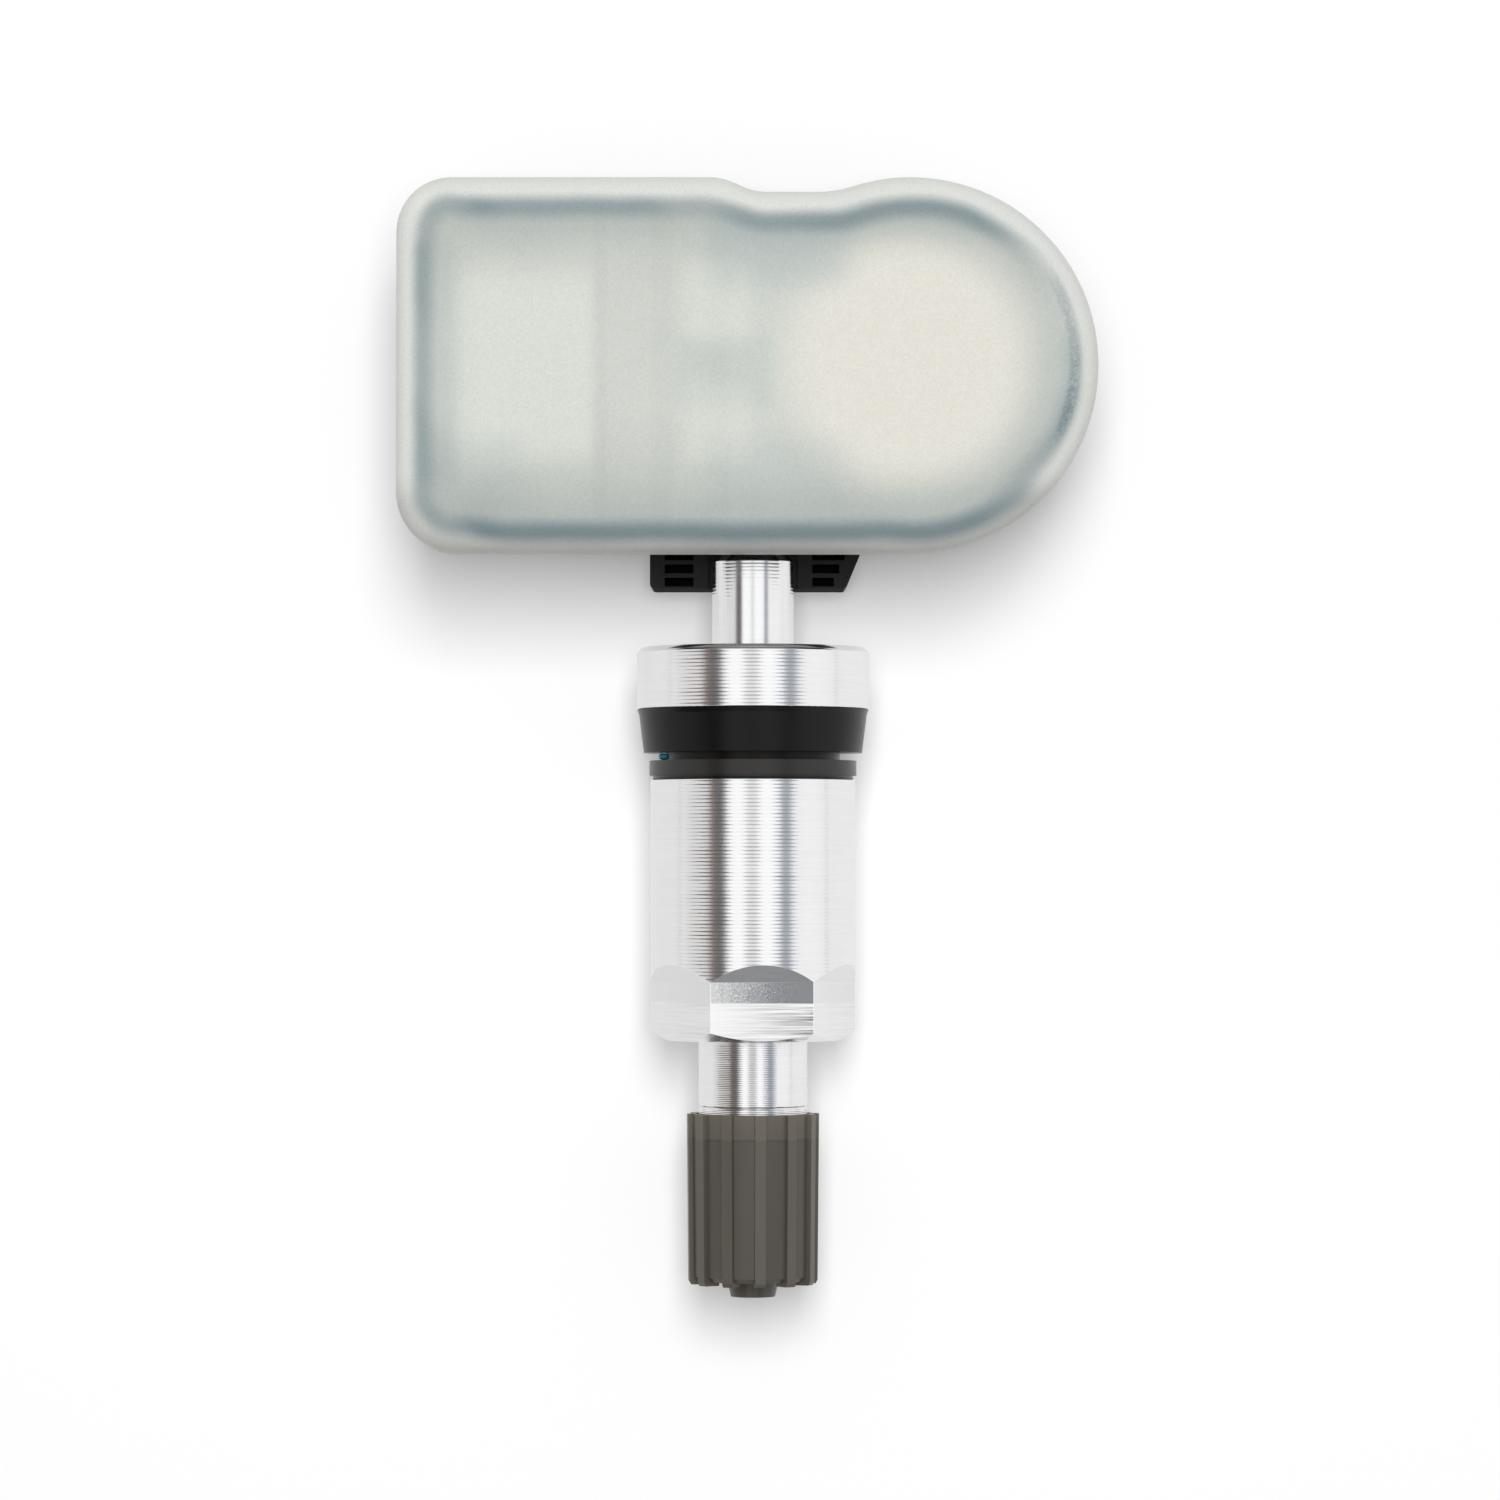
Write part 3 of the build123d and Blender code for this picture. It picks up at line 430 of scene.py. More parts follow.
    tone = 1 + 0.1 * cloud - 0.03 * seams - 0.12 * front_shade - 0.12 * back_shade
    tone = tone - 0.02 * gap - 0.08 * low_left - 0.09 * right_side
    field = finish.shade(colours.lid_field, tone)
    field = finish.mix(0.8 * parts, field, (0.645, 0.665, 0.617))
    field = finish.mix(0.5 * blocks, field, (0.66, 0.675, 0.62))
    field = finish.mix(cell, field, colours.lid_cell)
    field = finish.mix(0.4 * cold, field, (0.40, 0.46, 0.46))
    # Painted shade and light on the rim: darker along the front, a touch darker at the back, lighter along
    # the left edge
    painted_light_left_edge = 1 - x.rise(low.x + 1.5, low.x + 3)
    rim_painted_shading = 1 - 0.21 * front_side - 0.01 * back_side + 0.06 * painted_light_left_edge
    rim = finish.shade(colours.lid_rim, rim_painted_shading)
    field = finish.mix(inward.rise(1.0, 3.0), rim, field)
    field = finish.mix(dark, field, colours.lid_ring)
    grain = finish.noise(point, 7.0, 1.0)
    finish.surface(
        {
            "Base Color": finish.shade(field, 1 + 0.2 * grain + 0.07 * grit),
            "Roughness": 0.46 + 0.12 * grit,
            "Normal": finish.bump(grain + 0.5 * grit, 0.012),
            "IOR": 1.5,
            "Specular IOR Level": 0.35,
            "Subsurface Weight": 0.12,
            "Subsurface Radius": (1.0, 1.0, 0.95),
            "Subsurface Scale": 0.0012,
        }
    )
    return material


def moulded(name, colour, rough, grain_scale, depth, fade=0.35, gloss=0.3, painted_shade=None):
    """Moulded plastic or rubber: cloudy tone, fine grain, lighter rubbed edges, and painted black shade
    where a mask is given.
    """
    material, finish = new_finish(name)
    point = finish.point()
    cloud = finish.noise(point, 0.35, 4.0, 0.6)
    grain = finish.noise(point, grain_scale, 3.0, 0.65)
    edge = finish.node("ShaderNodeNewGeometry").outputs["Pointiness"]
    rubbed = Number(finish, edge).rise(0.52, 0.62)
    tone = finish.shade(colour, 1 + fade * cloud + 0.3 * grain + 0.35 * rubbed)
    finish.surface(
        {
            "Base Color": tone,
            "Roughness": rough + 0.16 * cloud + 0.12 * grain,
            "Normal": finish.bump(grain, depth),
            "Specular IOR Level": gloss,
        },
        painted_shade(*finish.split(point)) if painted_shade else None,
    )
    return material


def bracket_painted_shade(x, y, z):
    """Painted black shade: inside the coring pockets in the tops of the bracket's two ears, and, a little
    weaker, on the bracket's front face below the tops of the ears.
    """
    along = y.band(12.65, 1.27, 0.02)
    down = 0.9 * (1 - z.rise(EAR_TOP - 0.3, EAR_TOP - 0.02)) * z.rise(-5.7, -5.65)
    left = x.band(-4.98, 1.06, 0.02)
    right = x.rise(3.88, 3.9) * (1 - (x - 0.417 * y).rise(1.07, 1.09))
    # The bracket's front face gets painted black shade in place of its sheen
    front = 0.85 * y.band(BRACKET_FRONT, 0.03, 0.01) * (1 - z.rise(EAR_TOP - 0.02, EAR_TOP))
    return (along * down * left.greater(right)).greater(front)


def turned_aluminium(colours, sizes):
    """Aluminium with the scalloped rings of the turning tool, pulled strokes on the nut's flats, and a
    painted dark reflection on the flats.
    """
    material, finish = new_finish("aluminium_turned")
    point = finish.point()
    x, y, z = finish.split(point)
    radius = (x ** 2 + z ** 2).root()
    nut_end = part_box("nut")[0].y / MM
    flat_top = nut_end + HEX_LENGTH
    cut = radius.rise(5.9, 5.95) * (1 - radius.rise(6.9, 6.92))
    cut = cut * (1 - y.rise(flat_top + 1.2, flat_top + 1.25)) * y.rise(nut_end - 0.1, nut_end - 0.05)
    shoulder = cut * y.rise(flat_top - 0.02, flat_top + 0.02)
    flats = cut - shoulder

    # Across each flat, from 0 at its left edge to 1 at its right one
    turn = x.angle_from(z) * DEGREES - HEX_TURN
    top = 0.2 + 0.8 * turn.band(0, 29.9, 0.2)
    from_middle = ((turn / 60 + 0.5).fraction() - 0.5) * (math.pi / 3)
    across = radius * from_middle.sine() / HEX_SIDE + 0.5
    pulled = finish.noise(finish.stretched(point, (0.03, 1.0, 0.03)), 5.5, 2.0, 0.7)
    rows = (0.4 + 3.0 * pulled).greater(0).lesser(1)
    upper = y.rise(flat_top - 1.42, flat_top - 1.36)
    grainy = finish.noise(point, 10.0, 2.0, 0.7)
    lean = upper * (0.12 + 0.15 * across + 0.3 * grainy) + (1 - upper) * (0.27 * across * rows)
    # Painted reflection: the flats, the top one most, darken from their left edge to their right one and in
    # a band at their upper end; the pulled rows and the grain in it are milling marks
    marks = upper * (0.24 + 0.3 * across + 0.45 * grainy) + (1 - upper) * (0.72 * across * rows)
    marks = marks * flats * top

    waver = finish.noise(finish.stretched(point, (0.02, 1.0, 0.02)), 1.6, 2.0)
    on_neck = 1 - y.rise(nut_end - 0.3, nut_end)
    scallop = 2 * ((y + 0.05 * waver) * (MM / sizes.turning_pitch) * (1 + on_neck)).fraction() - 1
    deep = 1 + 0.6 * on_neck - 0.65 * y.rise(SHANK_START, SHANK_START + 0.1)
    threads = (1 - radius.rise(4.43, 4.45)) * y.band(-5.2, 8.1, 0.02) + 1 - y.rise(-24.5, -24.4)
    deep = deep * (1 - threads.lesser(1))
    rings = scallop * (0.21 + 0.12 * waver) * (1 - cut) * deep
    strokes = finish.noise(finish.stretched(point, (0.05, 1.0, 0.05)), 5.0, 3.0, 0.65)
    cloud = finish.noise(point, 0.5, 3.0)
    speck = finish.noise(point, 14.0, 1.0)
    plain = finish.node("ShaderNodeNewGeometry").outputs["Normal"]
    along = (0.0, 1.0, 0.0)
    normal = finish.summed(plain, finish.scaled(finish.crossed(along, plain), lean * flats * top))
    normal = finish.summed(normal, finish.scaled(along, rings))
    # The base colour carries the painted reflection of the flats together with their milling marks
    tone = (1 + 0.05 * cloud + 0.1 * strokes) * (1 - marks - 0.07 * shoulder)
    finish.surface(
        {
            "Base Color": finish.shade(colours.aluminium, tone),
            "Metallic": 1.0,
            "Roughness": 0.15 + 0.06 * cloud + 0.08 * strokes + 0.04 * flats + 0.1 * shoulder,
            "Normal": finish.bump(0.006 * strokes * (1 - 0.8 * cut) + 0.002 * speck, 1.0, normal),
        }
    )
    return material


def bright_metal(name, colour, rough, stretch):
    """Drawn or plated metal with fine strokes along one way."""
    material, finish = new_finish(name)
    point = finish.point()
    strokes = finish.noise(finish.stretched(point, stretch), 9.0, 3.0, 0.6)
    cloud = finish.noise(point, 0.8, 3.0)
    finish.surface(
        {
            "Base Color": finish.shade(colour, 1 + 0.16 * cloud + 0.18 * strokes),
            "Metallic": 1.0,
            "Roughness": rough + 0.12 * cloud + 0.14 * strokes,
            "Normal": finish.bump(strokes, 0.004),
        }
    )
    return material


def cap_plastic(colours):
    """Warm grey plastic of the cap, with a paler band at its mouth, faint flow streaks, and painted light on
    its ribs' edges and tops.
    """
    material, finish = new_finish("cap_plastic")
    point = finish.point()
    x, y, z = finish.split(point)
    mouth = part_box("valve_cap")[1].y / MM
    radius = (x ** 2 + z ** 2).root()
    streak = finish.noise(finish.stretched(point, (1.0, 0.12, 1.0)), 1.4, 4.0, 0.6)
    grain = finish.noise(point, 9.0, 3.0, 0.65)
    edge = Number(finish, finish.node("ShaderNodeNewGeometry").outputs["Pointiness"]).rise(0.52, 0.62)
    band = y.rise(mouth - 1.75, mouth - 1.55)
    line = y.band(mouth - 1.66, 0.05, 0.08) * (1 - radius.rise(4.1, 4.3))
    light = 1 + 0.28 * streak + 0.22 * grain + 0.3 * band - 0.25 * line
    # Painted highlight on the ribs' edges and painted light on the rib tops, lighter than the valleys
    # between them
    light = light + 0.18 * edge + 0.12 * radius.rise(4.1, 4.4)
    tone = finish.shade(colours.cap_grey, light)
    tone = finish.mix(0.4 * y.rise(mouth - 1.3, mouth), tone, (0.125, 0.108, 0.074))
    finish.surface(
        {
            "Base Color": tone,
            "Roughness": 0.36 + 0.1 * streak + 0.1 * grain,
            "Normal": finish.bump(grain, 0.006),
            "Specular IOR Level": 0.5,
        }
    )
    return material


def board_lacquer(colours):
    """Green lacquer over copper tracks on a square grid."""
    material, finish = new_finish("board_lacquer")
    point = finish.point()
    x, y, _ = finish.split(point)
    patch = finish.noise(finish.scaled(point, 0.25), 1.0, 1.0)
    across = abs((x * 0.62).fraction() - 0.5)
    along = abs((y * 0.62).fraction() - 0.5)
    lengthwise = across.rise(0.36, 0.42) * patch.rise(0.02, 0.03)
    crosswise = along.rise(0.36, 0.42) * (1 - patch.rise(-0.05, -0.04))
    tracks = lengthwise.greater(crosswise)
    weave = finish.noise(point, 6.0, 2.0)
    tone = finish.mix(0.65 * tracks, finish.shade(colours.board_green, 1 + 0.4 * weave), (0.05, 0.22, 0.06))
    finish.surface(
        {
            "Base Color": tone,
            "Roughness": 0.32 + 0.1 * weave,
            "Normal": finish.bump(tracks + 0.2 * weave, 0.03),
            "Coat Weight": 0.4,
        }
    )
    return material


def weld(mesh):
    """Joins the points of a mesh that lie in one place, and drops the faces that vanish with it."""
    joined = bmesh.new()
    joined.from_mesh(mesh)
    bmesh.ops.remove_doubles(joined, verts=joined.verts, dist=1e-8)
    joined.to_mesh(mesh)
    joined.free()


def new_piece(name, points, faces, material, body, smooth_angle):
    """A mesh in millimetres that rides on a body of the frame."""
    mesh = bpy.data.meshes.new(name)
    mesh.from_pydata([Vector(p) * MM for p in points], [], faces)
    weld(mesh)
    mesh.shade_smooth()
    mesh.set_sharp_from_angle(angle=math.radians(smooth_angle))
    mesh.materials.append(material)
    piece = bpy.data.objects.new(name, mesh)
    bpy.context.scene.collection.objects.link(piece)
    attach(piece, body)
    return piece


def ring_point(y, radius, step, count):
    """One point of a ring about the valve's axis, which runs from +Z towards +X."""
    turn = 2 * math.pi * step / count
    return (radius * math.sin(turn), y, radius * math.cos(turn))


def ring_points(y, radius, count):
    return [ring_point(y, radius, step, count) for step in range(count)]


def ring_faces(rings, count):
    """Quads between rings that follow each other."""
    faces = []
    for ring in range(rings - 1):
        for step in range(count):
            after = (step + 1) % count
            start = ring * count
            faces.append((start + step, start + count + step, start + count + after, start + after))
    return faces


def thread(crest, depth, pitch, start, end, count):
    """Points and faces of a right-hand thread, in rows along its helix, that runs out at both ends."""
    corners = ((0.93, 1), (0.57, 0), (0.43, 0), (0.07, 1))
    turns = range(math.ceil(start / pitch) + 1, math.floor(end / pitch) - 3, -1)
    rows = [(turn + share, cut) for turn in turns for share, cut in corners]
    points = []
    for place, cut in rows:
        for step in range(count):
            y = min(max((place + step / count) * pitch, end), start)
            run = min((start - y) / pitch, (y - end) / pitch, 1)
            points.append(ring_point(y, crest - depth * cut * run, step, count))
    faces = []
    for row in range(len(rows) - 1):
        for step in range(count):
            here = row * count + step
            # A row that has gone all the way round goes on as the row one pitch further along
            there = here + 1 if step < count - 1 else max(row - len(corners), 0) * count
            below = there + count if step < count - 1 else max(row + 1 - len(corners), 0) * count
            faces.append((here, here + count, below, there))
    return points, faces


class SENSOR_OT_lid(bpy.types.Operator):
    """Gives the lid its milky plastic"""

    bl_idname = "sensor.lid"
    bl_label = "Lid"

    def execute(self, context):
        dress(["lid"], milky_lid(context.scene.sensor_colours))
        return {"FINISHED"}


class SENSOR_OT_base(bpy.types.Operator):
    """Gives the tub with its bracket, and the release button, their moulded plastic"""

    bl_idname = "sensor.base"
    bl_label = "Base and release button"

    def execute(self, context):
        colours = context.scene.sensor_colours
        # Black shade is painted into the ears' pockets and on the bracket's front face
        dress(["base"], moulded("tub_black", colours.tub_black, 0.42, 6.0, 0.012, painted_shade=bracket_painted_shade))
        dress(["release_button"], moulded("button_grey", (0.09, 0.09, 0.095), 0.48, 6.0, 0.012))
        return {"FINISHED"}


class SENSOR_OT_rubber(bpy.types.Operator):
    """Dresses the grommet, the seals and the nut's washer, and adds a dab of lacquer"""

    bl_idname = "sensor.rubber"
    bl_label = "Grommet, seals and washer"

    def execute(self, context):
        colours = context.scene.sensor_colours
        rubber = moulded("rubber_black", colours.rubber_black, 0.3, 3.5, 0.006, 0.5, 0.23)
        dress(["grommet", "cap_seal", "core_ring", "core_cup_seal", "port_gasket"], rubber)
        dress(["nut_washer"], moulded("washer_plastic", colours.washer_grey, 0.3, 5.0, 0.006, gloss=0.55))
        self.dab_lacquer(colours)
        return {"FINISHED"}

    def dab_lacquer(self, colours):
        """A small lump of blue lacquer on the left of the grommet's neck, with its foot in the rubber."""
        foot, height = -5.75, 0.64
        middle_y, middle_z = -0.27, 0.3
        half_y, half_z = 0.23, 0.5
        rings, count = 7, 20
        points = []
        for ring in range(rings):
            share = ring / (rings - 1)
            spread = (1 - share ** 6) ** 0.5
            for step in range(count):
                turn = 2 * math.pi * step / count
                uneven = 0.12 * math.sin(2 * turn + 0.6) + 0.08 * math.sin(3 * turn + 5 * share)
                lump = spread * (1 + uneven)
                y = middle_y + half_y * lump * math.sin(turn)
                z = middle_z + half_z * lump * math.cos(turn)
                points.append((foot - height * share, y, z))
        points = points[:-count] + [(foot - height, middle_y, middle_z)]
        tip = len(points) - 1
        last = tip - count
        faces = ring_faces(rings - 1, count)
        faces.append(tuple(range(count)))
        faces += [(last + step, tip, last + (step + 1) % count) for step in range(count)]
        lacquer = moulded("lacquer_blue", colours.lacquer_blue, 0.35, 5.0, 0.01)
        new_piece("lacquer_dab", points, faces, lacquer, "housing", 50)


class SENSOR_OT_stem(bpy.types.Operator):
    """Builds the valve stem with its two threads in place of the plain solid, and dresses the nut"""

    bl_idname = "sensor.stem"
    bl_label = "Valve stem and nut"

    def execute(self, context):
        sizes = context.scene.sensor_sizes
        metal = turned_aluminium(context.scene.sensor_colours, sizes)
        dress(["nut"], metal)
        count = 96
        key_depth = 0.35
        pitch = sizes.thread_pitch / MM
        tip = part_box("valve_stem")[0].y / MM
        cap_thread_end = tip + 0.3
        plug = [(20.4, 1.6), (19.8, PLUG_RADIUS), (18.4, PLUG_RADIUS), (18.4, 1.5), (17.2, 1.5)]
        plug += [(17.2, PLUG_RADIUS), (16.4, PLUG_RADIUS)]
        keyed = [(16.4, PLUG_RADIUS), (13.4, PLUG_RADIUS)]
        shank = [(13.4, 2.25), (12.9, SHANK_RADIUS), (6.7, SHANK_RADIUS)]
        shank += [(6.7, 3.55), (7.1, 3.55), (7.1, 7.5)]
        flange = [(6.75, FLANGE_RADIUS), (3.0, FLANGE_RADIUS), (NUT_THREAD_START, FLANGE_RADIUS - 0.1)]
        flange += [(NUT_THREAD_START, NUT_THREAD_CREST)]
        neck = [(NUT_THREAD_END, NUT_THREAD_CREST), (-13.5, NECK_RADIUS), (-23.75, NECK_RADIUS)]
        neck += [(-23.86, 3.6), (-23.97, NECK_RADIUS), (CAP_THREAD_START, NECK_RADIUS)]
        neck += [(CAP_THREAD_START, CAP_THREAD_CREST)]
        mouth = [(cap_thread_end, CAP_THREAD_CREST), (tip, 3.22), (tip, CORE_BORE_RADIUS)]
        mouth += [(-27.3, CORE_BORE_RADIUS), (-26.2, AIR_BORE_RADIUS), (10.5, AIR_BORE_RADIUS)]
        nut_thread = (NUT_THREAD_CREST, sizes.nut_thread_depth / MM, pitch, NUT_THREAD_START, NUT_THREAD_END)
        cap_thread = (CAP_THREAD_CREST, sizes.cap_thread_depth / MM, pitch, CAP_THREAD_START, cap_thread_end)
        inner = [ring_points(y, radius, count) for y, radius in plug]
        for y, radius in keyed:
            flat = radius - key_depth
            inner.append([(min(max(x, -flat), flat), y, z) for x, y, z in ring_points(y, radius, count)])
        inner += [ring_points(y, radius, count) for y, radius in shank + flange]
        middle = [ring_points(y, radius, count) for y, radius in neck]
        outer = [ring_points(y, radius, count) for y, radius in mouth]
        points = []
        faces = [tuple(range(count))]
        for more_points, more_faces in (
            (sum(inner, []), ring_faces(len(inner), count)),
            thread(*nut_thread, count),
            (sum(middle, []), ring_faces(len(middle), count)),
            thread(*cap_thread, count),
            (sum(outer, []), ring_faces(len(outer), count)),
        ):
            faces += [tuple(len(points) + corner for corner in face) for face in more_faces]
            points += more_points
        last = len(points) - count
        faces.append(tuple(last + step for step in reversed(range(count))))
        stem = new_piece("threaded_stem", points, faces, metal, "housing", 28)
        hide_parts("valve_stem")
        self.bore_air_hole(context, stem)
        return {"FINISHED"}

    def bore_air_hole(self, context, stem):
        """Cuts the hole in the shank's underside where the air enters the tyre."""
        bpy.ops.mesh.primitive_cylinder_add(
            vertices=32,
            radius=AIR_HOLE_RADIUS * MM,
            depth=2 * MM,
            location=(0, AIR_HOLE_Y * MM, -2.6 * MM),
        )
        drill = context.object
        cut = stem.modifiers.new("air_hole", "BOOLEAN")
        cut.object = drill
        cut.solver = "EXACT"
        context.view_layer.update()
        bored = bpy.data.meshes.new_from_object(stem.evaluated_get(context.evaluated_depsgraph_get()))
        reaches = (math.hypot(v.co.x, v.co.y - AIR_HOLE_Y * MM) for v in bored.vertices)
        if not any(abs(reach - AIR_HOLE_RADIUS * MM) < 1e-6 for reach in reaches):
            raise RuntimeError("the air hole did not cut the stem")
        stem.modifiers.clear()
        stem.data = bored
        bpy.data.objects.remove(drill)


class SENSOR_OT_cap(bpy.types.Operator):
    """Gives the ribbed valve cap its plastic"""

    bl_idname = "sensor.cap"
    bl_label = "Valve cap"

    def execute(self, context):
        dress(["valve_cap"], cap_plastic(context.scene.sensor_colours))
        return {"FINISHED"}


class SENSOR_OT_core(bpy.types.Operator):
    """Dresses the valve core's brass and winds its spring"""

    bl_idname = "sensor.core"
    bl_label = "Valve core"

    def execute(self, context):
        brass = bright_metal("brass_turned", context.scene.sensor_colours.brass, 0.28, (0.1, 1.0, 0.1))
        dress(["core_barrel", "core_pin"], brass)
        wire = context.scene.sensor_sizes.core_wire / MM / 2
        low, high = (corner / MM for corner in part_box("core_spring"))
        radius = (high.x - low.x) / 2 - wire
        turns, sides = 7.5, 10
        steps = round(turns * 28)
        points = []
        for step in range(steps + 1):
            share = step / steps
            turn = 2 * math.pi * turns * share
            y = low.y + wire + (high.y - low.y - 2 * wire) * share
            for side in range(sides):
                angle = 2 * math.pi * side / sides
                reach = radius + wire * math.cos(angle)
                points.append((reach * math.sin(turn), y + wire * math.sin(angle), reach * math.cos(turn)))
        faces = ring_faces(steps + 1, sides)
        last = len(points) - sides
        faces.append(tuple(range(sides)))
        faces.append(tuple(last + side for side in reversed(range(sides))))
        metal = bright_metal("spring_wire", (0.5, 0.5, 0.49), 0.3, (1.0, 1.0, 1.0))
        spring = new_piece("wound_spring", points, faces, metal, "housing", 60)
        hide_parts("core_spring")
        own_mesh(spring)
        return {"FINISHED"}


class SENSOR_OT_latch(bpy.types.Operator):
    """Bends the two latch springs over the release button"""

    bl_idname = "sensor.latch"
    bl_label = "Latch springs"

    def execute(self, context):
        metal = bright_metal("spring_strip", (0.5, 0.5, 0.49), 0.3, (0.1, 1.0, 1.0))
        thick = context.scene.sensor_sizes.latch_strip / MM
        low, high = (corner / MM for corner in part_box("latch_springs"))
        reach = high.x
        steps = 40
        points = []
        faces = []
        for y0, y1 in ((low.y, low.y + 1), (high.y - 1, high.y)):
            start = len(points)
            for step in range(steps + 1):
                x = reach * (2 * step / steps - 1)
                top = low.z + (high.z - low.z) * math.cos(math.pi / 2 * x / reach) ** 0.85
                bottom = max(top - thick, low.z)
                points += [(x, y0, bottom), (x, y1, bottom), (x, y1, top + 0.001), (x, y0, top + 0.001)]
            faces += [tuple(start + corner for corner in face) for face in ring_faces(steps + 1, 4)]
            faces.append((start, start + 1, start + 2, start + 3))
            end = start + 4 * steps
            faces.append((end + 3, end + 2, end + 1, end))
        springs = new_piece("bowed_springs", points, faces, metal, "housing", 40)
        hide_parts("latch_springs")
        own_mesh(springs)
        return {"FINISHED"}


class SENSOR_OT_electronics(bpy.types.Operator):
    """Dresses the cell, the board and what it carries, and winds the pickup coil's copper"""

    bl_idname = "sensor.electronics"
    bl_label = "Cell and circuit board"

    def execute(self, context):
        colours = context.scene.sensor_colours
        plated = bright_metal("nickel_plate", (0.62, 0.61, 0.58), 0.26, (0.2, 1.0, 1.0))
        dress(["coin_cell", "positive_tab", "negative_tab", "radio_antenna"], plated)
        dress(["circuit_board"], board_lacquer(colours))
        dress(["sensor_chip"], moulded("chip_moulding", (0.015, 0.015, 0.016), 0.5, 8.0, 0.01))
        dress(["pickup_coil"], moulded("coil_ferrite", (0.045, 0.045, 0.05), 0.55, 7.0, 0.02))
        dress(["crystal", "chip_components"], moulded("pale_ceramic", (0.55, 0.5, 0.42), 0.5, 8.0, 0.01))
        self.wind_coil()
        return {"FINISHED"}

    def wind_coil(self):
        """Copper turns round the waist of the pickup coil."""
        low, high = (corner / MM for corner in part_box("pickup_coil"))
        start, end = low.x + 1.55, high.x - 1.55
        half_y = (high.y - low.y) / 2 - 0.42
        middle_y = (low.y + high.y) / 2
        half_z = (high.z - low.z) / 2 + 0.06
        middle_z = (low.z + high.z) / 2 + 0.07
        wire, sides, turns, steps = 0.14, 6, 26, 24
        points = []
        for step in range(turns * steps + 1):
            share = step / (turns * steps)
            turn = 2 * math.pi * turns * share
            across, up = math.cos(turn), math.sin(turn)
            square = max(abs(across), abs(up))
            along = start + (end - start) * share
            for side in range(sides):
                angle = 2 * math.pi * side / sides
                out = 1 + wire * math.cos(angle) / half_z
                points.append(
                    (
                        along + wire * math.sin(angle),
                        middle_y + half_y * out * across / square,
                        middle_z + half_z * out * up / square,
                    )
                )
        faces = ring_faces(turns * steps + 1, sides)
        copper = bright_metal("winding_copper", (0.62, 0.26, 0.12), 0.3, (1.0, 1.0, 1.0))
        new_piece("coil_winding", points, faces, copper, "housing", 50)


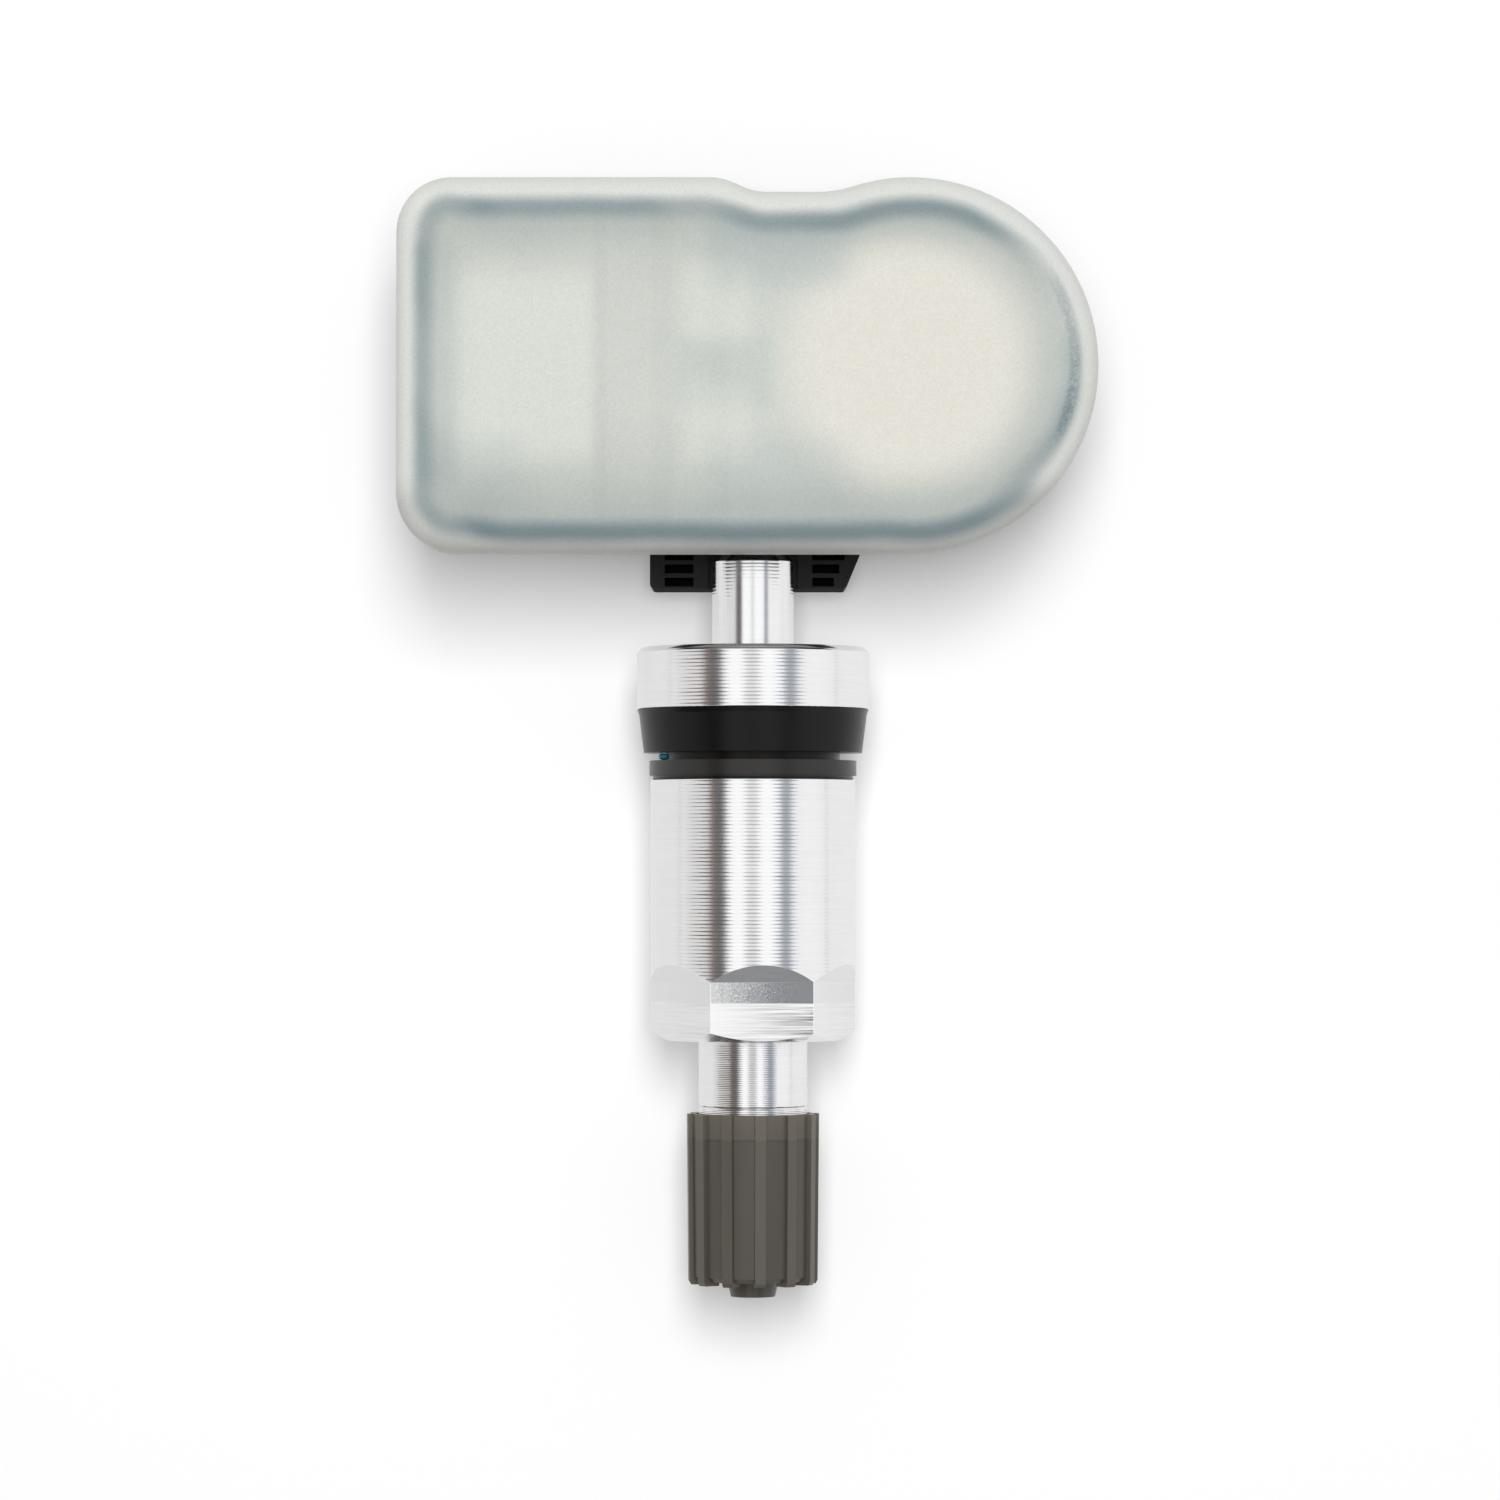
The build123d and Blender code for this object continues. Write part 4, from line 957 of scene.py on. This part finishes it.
class SENSOR_OT_studio(bpy.types.Operator):
    """Sets the white floor, the soft lamp, the white room and the camera above the lid"""

    bl_idname = "sensor.studio"
    bl_label = "Studio"

    def execute(self, context):
        scene = context.scene
        studio = scene.sensor_studio
        low, high = cad_box
        self.lay_floor(low.z, studio)
        self.paint_room(scene, studio)
        self.hang_lamp("key_lamp", (0.01, 0.115, 0.62), (0, 0.01, 0), 0.2, 0.36, studio.key_power)

        camera = bpy.data.cameras.new("camera")
        camera.lens = studio.camera_lens
        camera.clip_start = 0.01
        holder = bpy.data.objects.new("camera", camera)
        aim = Vector((-0.2 * MM, 0.2 * MM, 0))
        holder.location = aim + Vector((0, -studio.camera_lean, studio.camera_height))
        holder.rotation_euler = (aim - holder.location).to_track_quat("-Z", "Y").to_euler()
        scene.collection.objects.link(holder)
        scene.camera = holder
        scene.view_settings.view_transform = "Standard"
        return {"FINISHED"}

    def lay_floor(self, level, studio):
        material, finish = new_finish("floor_white")
        point = finish.point()
        x, y, _ = finish.split(point)
        speck = finish.noise(point, 0.02, 2.0)
        paper = finish.shade((0.96, 0.96, 0.96), 1 + 0.01 * speck)
        lit = finish.node("ShaderNodeBsdfDiffuse", None, {"Color": paper}).outputs[0]
        path = finish.node("ShaderNodeLightPath").outputs
        seen = Number(finish, path["Is Camera Ray"])
        # Painted reflection: rays that metal mirrors see the floor glow grey, a little darker on the left
        # and dark far in front, while the camera sees it white
        sides = finish.mix(x.rise(0, 20), (0.78, 0.78, 0.78), (0.86, 0.86, 0.86))
        far_front = finish.mix(y.rise(-240, -40), (0.2, 0.2, 0.2), sides)
        tone = finish.mix(seen, far_front, (1.0, 1.0, 1.0))
        white = finish.node("ShaderNodeEmission", None, {"Color": tone, "Strength": 1.0}).outputs[0]
        glossy, through = (Number(finish, path[f"Is {kind} Ray"]) for kind in ("Glossy", "Transmission"))
        mirrored = glossy.greater(through)
        share = seen * studio.floor_white + (1 - seen) * mirrored * studio.floor_painted_reflection
        blend = finish.node("ShaderNodeMixShader", None, {0: share, 1: lit, 2: white})
        finish.node("ShaderNodeOutputMaterial", None, {"Surface": blend.outputs[0]})
        mesh = bpy.data.meshes.new("floor")
        reach = 3.0
        front = [(-reach, -reach, level), (reach, -reach, level)]
        back = [(reach, reach, level), (-reach, reach, level)]
        mesh.from_pydata(front + back, [], [(0, 1, 2, 3)])
        mesh.materials.append(material)
        floor = bpy.data.objects.new("floor", mesh)
        bpy.context.scene.collection.objects.link(floor)

    def paint_room(self, scene, studio):
        """White all round, with dark strips along the valve that metal shows as bands."""
        world = bpy.data.worlds.new("white_room")
        world.use_nodes = True
        scene.world = world
        finish = Finish(world.node_tree)
        way = finish.node("ShaderNodeTexCoord").outputs["Generated"]
        x, y, z = finish.split(way)
        lean = x.angle_from(z) * DEGREES
        path = finish.node("ShaderNodeLightPath").outputs
        seen = Number(finish, path["Is Camera Ray"])
        glossy, through = (Number(finish, path[f"Is {kind} Ray"]) for kind in ("Glossy", "Transmission"))
        mirrored = glossy.greater(through)
        slope = abs(y).rise(0.22, 0.37)
        warm = (0.86 + 0.06 * slope) * lean.band(-40.5 - 17 * slope, 4.5 + 22 * slope, 9)
        cool = (0.68 + 0.12 * slope) * lean.band(37.5 + slope, 2 + 9 * slope, 7.5)
        lens = (0.26 + 0.42 * slope) * lean.band(-1, 2 + 5 * slope, 6)
        low_front = (0 - y).rise(0.75, 0.93)
        tone = finish.mix(lean.rise(-36, -30), (0.76, 0.76, 0.755), (1.06, 1.06, 1.06))
        tone = finish.mix(lean.rise(30, 36), tone, (0.95, 0.95, 0.955))
        tone = finish.mix((0 - lean).rise(70, 90), tone, (0.83, 0.83, 0.83))
        tone = finish.mix(lean.rise(70, 90), tone, (0.91, 0.91, 0.91))
        shadow = finish.mix(lean.rise(-46, -38), (0.10, 0.055, 0.04), (0.035, 0.035, 0.04))
        tone = finish.mix(warm, tone, shadow)
        tone = finish.mix(cool, tone, (0.10, 0.13, 0.19))
        tone = finish.mix(lens, tone, (0.1, 0.1, 0.1))
        tone = finish.mix(0.6 * low_front, tone, (0.1, 0.1, 0.095))
        tone = finish.mix(mirrored * (1 - seen), (1.0, 1.0, 1.0), tone)
        level = seen.greater(mirrored) * (1 - studio.sky_level) + studio.sky_level
        light = finish.node("ShaderNodeBackground", None, {"Color": tone, "Strength": level})
        finish.node("ShaderNodeOutputWorld", None, {"Surface": light.outputs[0]})

    def hang_lamp(self, name, place, target, width, depth, power):
        lamp = bpy.data.lights.new(name, "AREA")
        lamp.shape = "RECTANGLE"
        lamp.size = width
        lamp.size_y = depth
        lamp.energy = power
        holder = bpy.data.objects.new(name, lamp)
        holder.location = place
        holder.rotation_euler = (Vector(target) - Vector(place)).to_track_quat("-Z", "Y").to_euler()
        holder.visible_glossy = False
        bpy.context.scene.collection.objects.link(holder)


class SENSOR_PT_looks(bpy.types.Panel):
    """Lists the steps that dress the sensor, and their colours and sizes"""

    bl_label = "Tyre pressure sensor"
    bl_idname = "SENSOR_PT_looks"
    bl_space_type = "VIEW_3D"
    bl_region_type = "UI"
    bl_category = "Sensor"

    def draw(self, context):
        for step in STEPS:
            self.layout.operator(step.bl_idname)
        scene = context.scene
        for group in (scene.sensor_colours, scene.sensor_sizes, scene.sensor_studio):
            for name in group.__annotations__:
                self.layout.prop(group, name)


STEPS = (
    SENSOR_OT_lid,
    SENSOR_OT_base,
    SENSOR_OT_rubber,
    SENSOR_OT_stem,
    SENSOR_OT_cap,
    SENSOR_OT_core,
    SENSOR_OT_latch,
    SENSOR_OT_electronics,
    SENSOR_OT_studio,
)
CLASSES = (SensorColours, SensorSizes, SensorStudio, *STEPS, SENSOR_PT_looks)


def register():
    for kind in CLASSES:
        bpy.utils.register_class(kind)
    bpy.types.Scene.sensor_colours = bpy.props.PointerProperty(type=SensorColours)
    bpy.types.Scene.sensor_sizes = bpy.props.PointerProperty(type=SensorSizes)
    bpy.types.Scene.sensor_studio = bpy.props.PointerProperty(type=SensorStudio)


def unregister():
    del bpy.types.Scene.sensor_studio
    del bpy.types.Scene.sensor_sizes
    del bpy.types.Scene.sensor_colours
    for kind in reversed(CLASSES):
        bpy.utils.unregister_class(kind)


def main():
    register()
    bpy.ops.sensor.lid()
    bpy.ops.sensor.base()
    bpy.ops.sensor.rubber()
    bpy.ops.sensor.stem()
    bpy.ops.sensor.cap()
    bpy.ops.sensor.core()
    bpy.ops.sensor.latch()
    bpy.ops.sensor.electronics()
    bpy.ops.sensor.studio()


if __name__ == "__main__":
    main()
